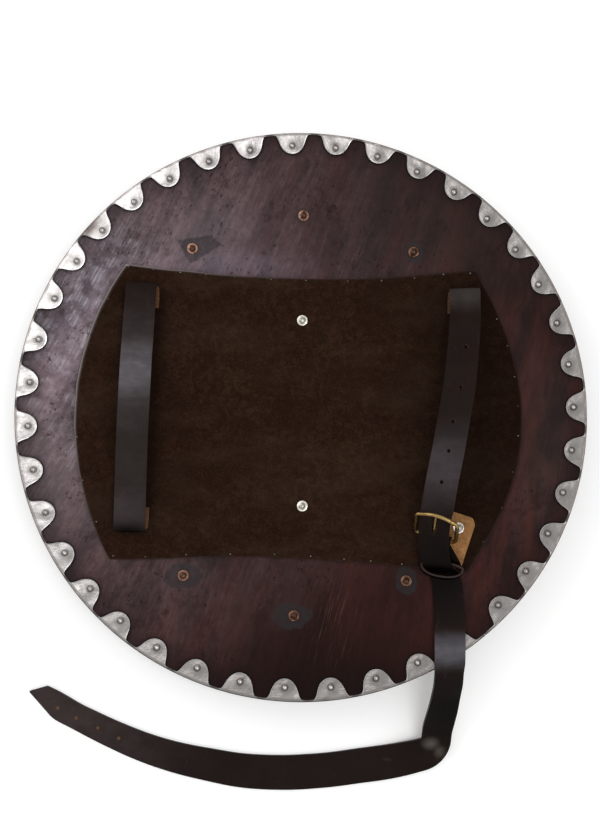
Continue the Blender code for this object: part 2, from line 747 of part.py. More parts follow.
def make_buckle_frame(parts):
    """The wire frame: straight hinge bar and sides, round corners, bowed outer bar."""
    half = BUCKLE_WIDTH / 2
    corner = BUCKLE_CORNER
    points = []
    centres = (
        (half - corner, corner, -90),
        (half - corner, BUCKLE_DEPTH - corner, 0),
        (-half + corner, BUCKLE_DEPTH - corner, 90),
        (-half + corner, corner, 180),
    )
    for x, y, start in centres:
        for step in range(CORNER_STEPS + 1):
            angle = math.radians(start + 90 * step / CORNER_STEPS)
            points.append((x + corner * math.cos(angle), y + corner * math.sin(angle), 0.0))
        if start == 0:
            for step in range(1, BOW_STEPS):
                t = 1 - 2 * step / BOW_STEPS
                points.append(((half - corner) * t, BUCKLE_DEPTH + BUCKLE_BOW * (1 - t * t), 0.0))
    frame = wire("buckle_frame", points, WIRE_RADIUS, True, brass(), parts)
    frame.matrix_world = buckle_frame()


def make_prong(parts):
    """The prong: an eye round the hinge bar, then a straight tongue to the outer bar."""
    eye = WIRE_RADIUS + REST_GAP + PRONG_RADIUS
    points = []
    for step in range(PRONG_LOOP_STEPS + 1):
        turned_by = PRONG_LOOP_SWEEP * step / PRONG_LOOP_STEPS
        angle = math.radians(PRONG_LOOP_START + turned_by)
        points.append((PRONG_OFFSET, eye * math.cos(angle), -eye * math.sin(angle)))
    points += [(PRONG_OFFSET, along, over) for along, over in PRONG_TONGUE]
    prong = wire("buckle_prong", points, PRONG_RADIUS, False, brass(), parts)
    prong.matrix_world = buckle_frame()


def make_keeper(parts):
    """The keeper: a squared oval ring of leather standing round the strap."""
    bm = bmesh.new()
    ring = bmesh.ops.create_circle(bm, segments=KEEPER_SIDES, radius=1.0)["verts"]
    for vert in ring:
        x, y = vert.co.xy
        vert.co.x = math.copysign(abs(x) ** KEEPER_SQUARENESS, x) * KEEPER_HALF_LENGTH
        depth = KEEPER_DEPTH_ABOVE if y > 0 else KEEPER_DEPTH_BELOW
        vert.co.y = math.copysign(abs(y) ** KEEPER_SQUARENESS, y) * depth
        vert.co.z = -KEEPER_BAND / 2
    grown = bmesh.ops.extrude_edge_only(bm, edges=bm.edges[:])["geom"]
    for vert in [item for item in grown if isinstance(item, bmesh.types.BMVert)]:
        vert.co.z = KEEPER_BAND / 2
    keeper = mesh_object("keeper", bm, strap_leather(), parts)
    add_wall(keeper, KEEPER_THICKNESS)
    lean = (Matrix.Rotation(KEEPER_TURN, 4, "Z") @ Matrix.Rotation(-KEEPER_SLOPE, 4, "Y")
            @ Matrix.Rotation(-KEEPER_TILT, 4, "X"))
    keeper.matrix_world = Matrix.Translation(on_back(*KEEPER_AT, KEEPER_LIFT)) @ lean


# ---------------------------------------------------------------- the whole shield

def new_collection(name):
    made = bpy.data.collections.new(name)
    bpy.context.scene.collection.children.link(made)
    return made


def main():
    for old in list(bpy.data.objects):
        bpy.data.objects.remove(old)
    parts = new_collection("round_shield")
    cutters = new_collection("cutters")
    rivet_holes = make_rivet_holes(cutters)
    punches = make_punches(cutters)
    make_board(parts, rivet_holes)
    make_rim(parts)
    make_rim_rivets(parts)
    make_pad(parts, rivet_holes)
    make_rivets(parts)
    make_arm_strap(parts, rivet_holes)
    make_long_strap(parts, rivet_holes, punches)
    make_buckle_tab(parts, cutters, rivet_holes)
    make_buckle_frame(parts)
    make_prong(parts)
    make_keeper(parts)
    for cutter in cutters.objects:
        cutter.hide_render = True
        cutter.display_type = "WIRE"


main()
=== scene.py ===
"""Wooden round shield: every visible surface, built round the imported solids.

The shield lies on its domed front with its hollow back up.  Metres, +Z up, with the origin
under the middle of the dome.
"""
import math

import bmesh
import bpy
from bpy.props import FloatProperty, FloatVectorProperty, PointerProperty
from mathutils import Matrix, Vector, kdtree, noise


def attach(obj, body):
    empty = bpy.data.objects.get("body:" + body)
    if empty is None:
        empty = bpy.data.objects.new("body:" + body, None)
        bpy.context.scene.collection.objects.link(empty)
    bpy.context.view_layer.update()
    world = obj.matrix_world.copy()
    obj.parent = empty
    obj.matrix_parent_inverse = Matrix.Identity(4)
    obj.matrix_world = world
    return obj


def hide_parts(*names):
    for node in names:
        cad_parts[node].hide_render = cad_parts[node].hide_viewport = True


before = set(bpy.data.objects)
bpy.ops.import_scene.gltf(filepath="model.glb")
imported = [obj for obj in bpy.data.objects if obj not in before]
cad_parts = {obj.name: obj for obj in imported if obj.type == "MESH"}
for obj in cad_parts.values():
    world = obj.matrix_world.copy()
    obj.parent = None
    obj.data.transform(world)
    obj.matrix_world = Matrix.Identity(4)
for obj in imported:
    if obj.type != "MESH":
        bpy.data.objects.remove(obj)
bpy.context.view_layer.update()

bl_info = {
    "name": "Wooden Round Shield",
    "version": (1, 0, 0),
    "blender": (4, 5, 0),
    "location": "3D View > Sidebar > Shield",
    "description": "Builds a riveted round shield seen from its strapped back",
    "category": "Add Mesh",
}

BODY = "root"
MERGE_DISTANCE = 1e-6

# The dished board
SHIELD_RADIUS = 0.305
DISH_DEPTH = 0.043
BOARD_THICKNESS = 0.011
FLAT_RADIUS = 0.040
BACK_SPHERE = (SHIELD_RADIUS ** 2 + DISH_DEPTH ** 2) / (2 * DISH_DEPTH)
FRONT_SPHERE = BACK_SPHERE + BOARD_THICKNESS
CENTRE_HEIGHT = math.sqrt(FRONT_SPHERE ** 2 - FLAT_RADIUS ** 2)
RIM_THICKNESS = 0.001
EDGE_GAP = 0.0005
BOARD_RADIUS = SHIELD_RADIUS - RIM_THICKNESS - EDGE_GAP
BOARD_STEPS = 720
BOARD_RINGS = 10
BOARD_RINGS_UNDER_TABS = 26
BOARD_PLAIN_RADIUS = 0.266
BOARD_EDGE_INSET = 0.0012
BOARD_EDGE_ROUND = 0.0004
BOARD_EDGE_FALL = 0.0013
FRONT_RINGS = 15

# The steel rim
TABS = 39
FIRST_TAB = math.radians(-1.95)
SEAM_TAB = 16
SEAM_EXTRA = math.radians(2.3)
SEAM_GAP = 0.0008
TAB_PITCH = (2 * math.pi - SEAM_EXTRA) / TABS
TAB_GAP = 0.0008
TAB_FULLNESS = 2.6
TAB_FLARE = 0.0070
TAB_FLARE_LENGTH = 0.0032
NOTCH_LIP = 0.0022
FLANGE_WIDTH = 0.012
TAB_COLUMNS = 18
NOTCH_COLUMNS = 4
TAB_ROWS = 12
TAB_SHOULDER = 0.70
OUTLINE_STEPS = 40
FOLD_RADIUS = 0.0016
FLANGE_START = 0.003
RIM_EDGE_ROUND = 0.00022
DIMPLE_DEPTH = 0.00065
DIMPLE_REACH = 0.0058
HAMMER_DEPTH = 0.00045
HAMMER_SIZE = 0.015
# How dark the painted shade and dirt are in the first rows of each notch
LIP_SHADE_SHARES = (0.85, 0.85, 0.80, 0.45)
NO_RIVET = (9.0, 9.0, 0.0)

# How the tabs wander round the rim: clockwise angle, sidestep and extra length in mm
TAB_WANDER = (
    (-2, -0.5, 0.3), (7, 0.7, -0.9), (25, 1.3, -1.4), (44, 1.2, -1.6), (62, -0.2, -1.0),
    (90, 0.0, -0.5), (117, -0.6, -0.7), (136, -1.4, -0.6), (156, -2.3, 0.2), (165, -2.6, 0.8),
    (184, -0.6, 1.0), (202, -0.6, 0.3), (220, -0.1, -0.4), (239, -1.6, 1.0), (257, -0.5, 1.7),
    (275, 0.0, 0.2), (294, 1.0, -0.6), (303, 1.6, -0.8), (312, -1.6, -0.8), (330, -1.6, 0.0),
    (349, -0.8, 0.5), (358, -0.5, 0.3),
)

# The pad: each edge is a bow through two corners, drawn by two pulls between them
PAD_THICKNESS = 0.0018
PAD_GAP = 0.0008
PAD_CORNERS = {
    "top_left": (-0.1925, 0.1602),
    "top_right": (0.1912, 0.1550),
    "bottom_left": (-0.2030, -0.1597),
    "bottom_right": (0.1777, -0.1745),
}
PAD_PULLS = {
    "top": ((0.046, 0.1402), (0.109, 0.1521)),
    "bottom": ((-0.112, -0.1621), (-0.114, -0.1475)),
    "left": ((-0.251, -0.0787), (-0.270, 0.0502)),
    "right": ((0.184, -0.1482), (0.304, -0.0433)),
}
PAD_ENDS = {
    "top": ("top_left", "top_right"), "bottom": ("bottom_left", "bottom_right"),
    "left": ("bottom_left", "top_left"), "right": ("bottom_right", "top_right"),
}
PAD_COLUMNS = 150
PAD_ROWS = 120
PAD_BORDER = 0.06
PAD_EDGE_ROUND = 0.0005
# Tacks along each edge: share of the way along it, and millimetres in from the cut
TACKS = {
    "top": (
        (0.004, 2.6), (0.042, 2.4), (0.087, 2.4), (0.133, 2.0), (0.19, 2.4), (0.27, 2.2),
        (0.358, 2.2), (0.482, 2.8), (0.60, 3.6), (0.732, 3.3), (0.859, 2.2), (0.978, 3.6),
    ),
    "bottom": (
        (0.012, 4.0), (0.15, 2.6), (0.354, 3.2), (0.536, 2.6), (0.668, 3.6), (0.753, 3.4),
        (0.818, 2.7), (0.864, 2.7), (0.912, 2.2), (0.99, 2.6),
    ),
    "left": (
        (0.144, 3.8), (0.296, 2.2), (0.442, 2.2), (0.552, 2.3), (0.667, 2.4), (0.772, 2.4),
        (0.89, 4.0),
    ),
    "right": (
        (0.228, 3.0), (0.389, 2.4), (0.516, 3.8), (0.626, 4.0), (0.706, 4.2), (0.778, 3.5),
        (0.848, 2.6), (0.906, 3.1),
    ),
}

# Rivets through the board
RING_RIVETS = (
    (-0.1212, 0.1806), (0.0022, 0.2185), (0.1247, 0.1772),
    (0.1114, -0.1837), (-0.0089, -0.2199), (-0.1270, -0.1774),
)
CENTRE_RIVETS = ((0.0009, 0.1029), (0.0005, -0.1042))
WASHER_THICKNESS = 0.0011
SHANK_RADIUS = 0.0021
FRONT_HEAD_RADIUS = 0.0048
FRONT_HEAD_HEIGHT = 0.0016
REST_GAP = 0.0003
BOARD_UNDERSIDE = -BOARD_THICKNESS - REST_GAP
FRONT_HEAD = (
    (SHANK_RADIUS, BOARD_UNDERSIDE), (FRONT_HEAD_RADIUS, BOARD_UNDERSIDE),
    (FRONT_HEAD_RADIUS * 0.92, BOARD_UNDERSIDE - 0.0006),
    (FRONT_HEAD_RADIUS * 0.65, BOARD_UNDERSIDE - 0.0012),
    (0.0, BOARD_UNDERSIDE - FRONT_HEAD_HEIGHT),
)
FACET_GAP = 0.0007

# Straps
STRAP_THICKNESS = 0.0030
TAB_LEATHER = 0.0022
ARM_STRAP_WIDTH = 0.033
ARM_STRAP_MIDDLE = (-0.1790, 0.0045)
ARM_STRAP_TURN = math.radians(-1.8)
ARM_STRAP_RIVET = 0.117
ARM_STRAP_RUN = Vector((-math.sin(ARM_STRAP_TURN), math.cos(ARM_STRAP_TURN)))
ARM_STRAP_ASIDE = Vector((math.cos(ARM_STRAP_TURN), math.sin(ARM_STRAP_TURN)))
STRAP_COLUMNS = 12
STRAP_STEPS = 6
STRAP_CROWN = 0.0002
STRAP_WAVER = 0.0002

# Half of the arm strap: distance from its middle, sideways slip of the folded end, and
# lift of its mid-surface off the board
ARM_STRAP_HALF = (
    (0.109, 0.0022, 0.0050),
    (0.122, 0.0022, 0.0050),
    (0.1305, 0.0018, 0.0054),
    (0.1340, 0.0009, 0.0080),
    (0.1300, 0.0, 0.0112),
    (0.118, 0.0, 0.0135),
    (0.095, 0.0, 0.0187),
    (0.060, 0.0, 0.0252),
    (0.025, 0.0, 0.0290),
)

# Long strap on the back: x, y, lift of its mid-surface, turn and roll in degrees, width
LONG_STRAP_BACK = (
    (0.1776, 0.1070, 0.0049, 0, 0, 0.033),
    (0.1776, 0.1190, 0.0049, 0, 0, 0.033),
    (0.1778, 0.1290, 0.0054, 0, 0, 0.033),
    (0.1785, 0.1325, 0.0080, 0, 0, 0.033),
    (0.1787, 0.1285, 0.0112, 0, 0, 0.033),
    (0.1783, 0.1172, 0.0140, -1, 0, 0.033),
    (0.1774, 0.0997, 0.0190, -3, 0, 0.033),
    (0.1736, 0.0662, 0.0275, -6, 0, 0.0335),
    (0.1674, 0.0217, 0.0335, -8, 0, 0.034),
    (0.1603, -0.0151, 0.0350, -9, 0, 0.034),
    (0.1544, -0.0463, 0.0345, -10, -2, 0.034),
    (0.1473, -0.0792, 0.0322, -11, -4, 0.034),
    (0.1430, -0.1038, 0.0290, -12, -5, 0.034),
    (0.1408, -0.1146, 0.0268, -13, -5, 0.033),
    (0.1398, -0.1241, 0.0238, -14, -5, 0.0325),
    (0.1390, -0.1347, 0.0204, -14, -5, 0.0325),
    (0.1390, -0.1452, 0.0186, -13, -4, 0.0325),
    (0.1396, -0.1555, 0.0172, -11, 0, 0.0325),
    (0.1402, -0.1612, 0.0168, -8, 0, 0.0325),
    (0.1429, -0.1659, 0.0157, -6, 2, 0.0322),
    (0.1467, -0.1700, 0.0108, -5, 3.5, 0.032),
    (0.1500, -0.1742, 0.0059, -5, 3, 0.032),
    (0.1527, -0.1815, 0.0041, -2, 3, 0.0315),
    (0.1540, -0.1915, 0.0034, 0, 1, 0.0315),
    (0.1543, -0.2079, 0.0030, 1, 0, 0.0315),
    (0.1539, -0.2279, 0.0044, 1, 0, 0.0315),
    (0.1525, -0.2500, 0.0056, 0, 3, 0.0315),
    (0.1515, -0.2630, 0.0062, -1, 8, 0.0315),
)

# The same strap beyond the rim: x, y, z, turn and roll in degrees, width
LONG_STRAP_FREE = (
    (0.1509, -0.2750, 0.0578, -2, 14, 0.0320),
    (0.1504, -0.2885, 0.0530, -3, 18, 0.0330),
    (0.1490, -0.3020, 0.0455, -4, 19, 0.0335),
    (0.1472, -0.3170, 0.0370, -6, 17, 0.034),
    (0.1454, -0.3290, 0.0295, -10, 15, 0.034),
    (0.1437, -0.3405, 0.0225, -16, 14, 0.034),
    (0.1428, -0.3530, 0.0165, -26, 14, 0.0355),
    (0.1397, -0.3624, 0.0115, -45, 20, 0.0375),
    (0.1330, -0.3684, 0.0085, -65, 16, 0.037),
    (0.1219, -0.3724, 0.0060, -77, 11, 0.036),
    (0.1040, -0.3768, 0.0036, -81, 5, 0.036),
    (0.0820, -0.3805, 0.0022, -83, 0, 0.036),
    (0.0590, -0.3834, 0.0015, -85, 0, 0.036),
    (0.0250, -0.3875, 0.0015, -88, 0, 0.036),
    (-0.0200, -0.3896, 0.0015, -91, 0, 0.0358),
    (-0.0620, -0.3875, 0.0015, -95, 0, 0.035),
    (-0.1030, -0.3804, 0.0015, -101, 0, 0.0335),
    (-0.1400, -0.3720, 0.0015, -106, 0, 0.0315),
    (-0.1740, -0.3610, 0.0015, -111, 0, 0.030),
    (-0.2050, -0.3480, 0.0015, -114, 0, 0.0285),
    (-0.2280, -0.3372, 0.0015, -116, 0, 0.0275),
    (-0.2500, -0.3262, 0.0015, -117, 0, 0.027),
)
STRAP_POINT = (
    (-0.2740, -0.3129, 0.0015, -82.5, 0, 0.0314),
    (-0.2946, -0.3030, 0.0015, -82.5, 0, 0.0012),
)
PUNCHED_HOLES = (
    (0.1763, 0.0660), (0.1692, 0.0217), (0.1603, -0.0151), (0.1549, -0.0463), (0.1470, -0.0791),
    (-0.2643, -0.3205), (-0.2440, -0.3311), (-0.2206, -0.3417), (-0.1978, -0.3529),
)
HOLE_SHADE_SKIN = 0.0011
PUNCH_BOTTOM = -0.02
PUNCH_TOP = 0.10
PRONG_SLOT_AT = (0.1393, -0.1262)
PRONG_SLOT_RADIUS = 0.0025
PRONG_SLOT_STRETCH = 2.6
LONG_STRAP_RIVET = (0.1776, 0.1160)

# Buckle tab
TAB_ROUTE = (
    (0.1722, -0.1134, 0.0049, -18.5, 0, 0.033),
    (0.1640, -0.1358, 0.0049, -20, 0, 0.033),
    (0.1575, -0.1530, 0.0048, -20.5, 0, 0.033),
    (0.1556, -0.1586, 0.0052, -20.5, 0, 0.033),
    (0.1547, -0.1610, 0.0077, -20.5, 0, 0.031),
    (0.1540, -0.1584, 0.0106, -20, 0, 0.0285),
    (0.1502, -0.1510, 0.0125, -18, -3, 0.0265),
)
TAB_RIVET = (0.1685, -0.1283)
TAB_HINGE_WIDTH = 0.0272
TAB_HINGE_OFFSET = 0.0042
TAB_SLOT = (0.0058, 0.0098, 0.0098)
TAB_LOOP_ANGLES = range(-50, 207, 16)
TAB_TRIM_ROWS = 5
TAB_TRIM_START = 0.62
TAB_TRIM = 14.48276
TAB_EDGE_ROUND = 0.0004

# Buckle
WIRE_RADIUS = 0.0022
PRONG_RADIUS = 0.0016
BUCKLE_AT = (0.1419, -0.1368)
BUCKLE_LIFT = 0.0115
BUCKLE_TURN = math.radians(-16.7)
BUCKLE_SLOPE = math.radians(18.0)
BUCKLE_RAISE = math.radians(53.0)
BUCKLE_WIDTH = 0.0446
BUCKLE_DEPTH = 0.0298
BUCKLE_CORNER = 0.0042
BUCKLE_BOW = 0.0044
WIRE_MERGE = 1e-5
CORNER_STEPS = 8
BOW_STEPS = 24
PRONG_OFFSET = -0.0018
PRONG_LOOP_START = 60
PRONG_LOOP_SWEEP = 270
PRONG_LOOP_STEPS = 24
# Along the prong's tongue: distance out from the hinge bar, and height over the frame
PRONG_TONGUE = ((0.0085, 0.0006), (0.0190, -0.0010), (0.0300, -0.0034))

# Keeper
KEEPER_AT = (0.1479, -0.1690)
KEEPER_LIFT = 0.0097
KEEPER_TURN = math.radians(-8.0)
KEEPER_SLOPE = math.radians(8.0)
KEEPER_TILT = math.radians(17.5)
KEEPER_THICKNESS = 0.0020
KEEPER_BAND = 0.0080
KEEPER_HALF_LENGTH = 0.0218
KEEPER_DEPTH_ABOVE = 0.0046
KEEPER_DEPTH_BELOW = 0.0108
KEEPER_SQUARENESS = 0.9
KEEPER_STEPS = 4
KEEPER_EDGE_ROUND = 0.0005

# The grain of the wood fans out from this plan place
GRAIN_CENTRE = (0.58, 1.65)
# Corners of the straight-sided stain at the upper left, clockwise from its left one
STAIN_CORNERS = ((-0.1377, 0.1891), (-0.0996, 0.1955), (-0.0901, 0.1858), (-0.1231, 0.1635))

# Paler still, from painted sheen and rubbed lacquer: plan place, reach, narrowing in x and y, added
# tone
WOOD_SHEEN_AND_HAZE = (
    ((-0.262, -0.085), 0.120, (1.0, 1.0), (0.036, 0.032, 0.035)),
    ((-0.100, 0.195), 0.075, (0.8, 1.2), (0.034, 0.031, 0.036)),
    ((-0.070, 0.163), 0.060, (0.5, 2.2), (0.036, 0.032, 0.044)),
    ((0.262, -0.050), 0.140, (1.0, 0.8), (0.005, 0.007, 0.0065)),
)
# Where it is darker: redder at the bottom, plainer at the top, browner at the upper right
WOOD_DARK = (
    ((0.04, -0.31), 0.24, (1, 1), (0.0105, 0.0029, 0.0018), 0.90),
    ((0.02, 0.225), 0.100, (0.9, 1), (0.0150, 0.00558, 0.00504), 0.34),
    ((0.01, -0.290), 0.075, (0.42, 1), (0.0058, 0.0017, 0.0011), 0.60),
    ((0.170, 0.215), 0.210, (1, 1), (0.0210, 0.0135, 0.0115), 0.55),
)
# The stains round five of the ring rivets: plan place, reach, narrowing in x and y
STAIN_SPOTS = (
    (RING_RIVETS[1], 0.0085, (1, 1)), (RING_RIVETS[2], 0.0105, (1, 0.8)),
    (RING_RIVETS[3], 0.0135, (1.05, 0.85)), ((-0.0115, -0.2200), 0.0150, (0.64, 1.05)),
    (RING_RIVETS[5], 0.0150, (0.66, 1.0)),
)
# Painted sheen and rubbed lacquer of the back: its middle, and how much of it goes with each metre
SHEEN_CENTRE = (-0.330, 0.148)
SHEEN_FADE = 1.94

# Where the straps carry a painted sheen: plan place, reach, narrowing in x and y, added tone
STRAP_PAINTED_SHEEN = (
    ((-0.1824, 0.0410), 0.040, (0.35, 1.0), (0.058, 0.057, 0.066)),
    ((-0.1824, 0.0480), 0.090, (0.35, 1.0), (0.033, 0.029, 0.031)),
    ((-0.1874, -0.1080), 0.034, (0.35, 1.0), (0.015, 0.0125, 0.0142)),
    ((-0.1860, -0.0450), 0.110, (0.35, 1.0), (0.009, 0.0085, 0.0088)),
    ((0.1788, 0.1270), 0.026, (0.4, 1.0), (0.024, 0.022, 0.022)),
    ((0.1465, -0.0640), 0.062, (0.3, 1.0), (0.032, 0.028, 0.033)),
    ((0.1523, -0.2530), 0.024, (0.15, 1.0), (0.075, 0.075, 0.088)),
    ((0.1370, -0.3565), 0.0125, (1.0, 1.2), (0.110, 0.094, 0.084)),
    ((0.1475, -0.3665), 0.0105, (1.2, 1.0), (0.064, 0.056, 0.048)),
    ((-0.2700, -0.3200), 0.190, (1.0, 0.5), (0.026, 0.021, 0.021)),
)
# Where painted shade makes them darkest: under the keeper, down the hanging part, at the arm strap's
# lower end
STRAP_PAINTED_SHADE = (
    ((0.1420, -0.1750), 0.072, (0.8, 1.0)),
    ((0.1475, -0.3180), 0.060, (0.8, 1.0)),
    ((-0.1848, -0.1310), 0.017, (0.45, 1.0)),
)

CAMERA_PLACE = (-0.0181, -0.1061, 0.9620)
CAMERA_LENS = 36.8
CAMERA_TILT = math.radians(5.85824)
CAMERA_ROLL = math.radians(-0.98282)
FLOOR_REACH = 4.0


# ---------------------------------------------------------------- settings

def length(name, description, default, low=0.0, high=0.1):
    return FloatProperty(
        name=name, description=description, default=default, min=low, max=high,
        subtype="DISTANCE", unit="LENGTH", precision=4,
    )


def colour(name, description, default):
    return FloatVectorProperty(
        name=name, description=description, default=default, size=3, min=0.0, max=1.0,
        subtype="COLOR",
    )


class ShieldSizes(bpy.types.PropertyGroup):
    """Sizes of the small parts that a user would change."""

    tab_length: length("Tab length", "How far a steel tab reaches in over the wood", 0.0213)
    tab_half_width: length("Tab half width", "Half of a steel tab's width", 0.0147)
    rim_rivet: length("Rim rivet", "Radius of the small domed rivets on the tabs", 0.0026)
    rim_rivet_inset: length("Rim rivet inset", "From the outer edge to the rivets", 0.0135)
    washer: length("Washer", "Radius of the washers on the back", 0.0061)
    rivet_head: length("Rivet head", "Radius of the hammered rivet ends", 0.0032)
    tack: length("Tack", "Radius of the tacks round the pad", 0.0011)
    punch: length("Punched hole", "Radius of the holes in the long strap", 0.0021)
    strap_round: length("Strap edge", "Rounding of the straps' cut edges", 0.0007)


class ShieldColours(bpy.types.PropertyGroup):
    """Base colours of the finishes."""

    wood: colour("Stained wood", "Dark stain over the whole board", (0.0250, 0.0093, 0.0084))
    wood_red: colour("Red streaks", "Redder growth rings under the stain", (0.0490, 0.0122, 0.0090))
    # the rubbed wood's tone also carries painted sheen
    wood_haze: colour("Rubbed wood", "Grey bloom where the lacquer is rubbed", (0.100, 0.079, 0.087))
    stain: colour("Rivet stain", "Blue-grey marks round the copper rivets", (0.0200, 0.0168, 0.0180))
    steel: colour("Steel", "Brushed sheet steel of the rim", (0.510, 0.490, 0.478))
    suede: colour("Pad suede", "Brown nap of the pad", (0.0240, 0.0117, 0.0073))
    suede_edge: colour("Pad edge", "Cut edge of the pad", (0.30, 0.27, 0.27))
    leather: colour("Strap leather", "Smooth grain side of the straps", (0.0120, 0.0072, 0.0058))
    flesh: colour("Strap flesh side", "Rough underside of the straps", (0.105, 0.045, 0.019))
    strap_edge: colour("Strap edge", "Dressed cut edge of the straps", (0.016, 0.011, 0.010))
    raw: colour("Buckle tab", "Undyed flesh side of the buckle tab", (0.310, 0.150, 0.056))
    brass: colour("Brass", "Old brass of the buckle", (0.38, 0.255, 0.100))
    copper: colour("Copper", "Copper of the rivets in the ring", (0.33, 0.185, 0.130))
    nickel: colour("Nickel", "Plated washers in the middle", (0.80, 0.77, 0.70))
    floor: colour("Floor", "Plain pale floor", (0.94, 0.94, 0.94))


class ShieldStage(bpy.types.PropertyGroup):
    """Strength of the studio lights."""

    key: FloatProperty(
        name="Key", description="Power of the soft light at its upper left",
        default=16.0, min=0.0, unit="POWER",
    )
    fill: FloatProperty(
        name="Fill", description="Power of the wide soft light above its right half",
        default=18.5, min=0.0, unit="POWER",
    )
    sky: FloatProperty(
        name="Sky", description="Brightness of the even light all round",
        default=0.80, min=0.0,
    )


# ---------------------------------------------------------------- the dished surface

def back_height(radius, lift=0.0):
    """Height of the board's hollow back, raised by lift along its normal."""
    return CENTRE_HEIGHT - math.sqrt((BACK_SPHERE - lift) ** 2 - radius ** 2)


def front_height(radius, drop=0.0):
    """Height of the board's domed front, lowered by drop along its normal."""
    return CENTRE_HEIGHT - math.sqrt((FRONT_SPHERE + drop) ** 2 - radius ** 2)


def on_back(x, y, lift):
    return Vector((x, y, back_height(math.hypot(x, y), lift)))


def polar(radius, clockwise):
    """Plan position at an angle measured clockwise from +Y."""
    return radius * math.sin(clockwise), radius * math.cos(clockwise)


def stand_on_back(x, y, lift):
    """Frame on the hollow back whose Z is the surface's own normal."""
    point = on_back(x, y, lift)
    normal = (Vector((0, 0, CENTRE_HEIGHT)) - point).normalized()
    across = Vector((0, 1, 0)).cross(normal).normalized()
    placed = Matrix((across, normal.cross(across), normal)).transposed().to_4x4()
    placed.translation = point
    return placed


def ripple(place, size, seed=0.0):
    """Smooth hand-made unevenness from -1 to 1 with bumps of about one size."""
    return noise.noise(Vector(place) / size + Vector((seed, seed * 0.7, 3.1)))


def between(stops, at):
    """Values at a place along stops of (place, value, value...), eased from stop to stop."""
    for first, second in zip(stops, stops[1:]):
        if first[0] <= at <= second[0]:
            share = (at - first[0]) / (second[0] - first[0])
            share = share * share * (3 - 2 * share)
            return [a + (b - a) * share for a, b in zip(first[1:], second[1:])]
    return list(stops[-1][1:] if at > stops[-1][0] else stops[0][1:])


# ---------------------------------------------------------------- node wiring

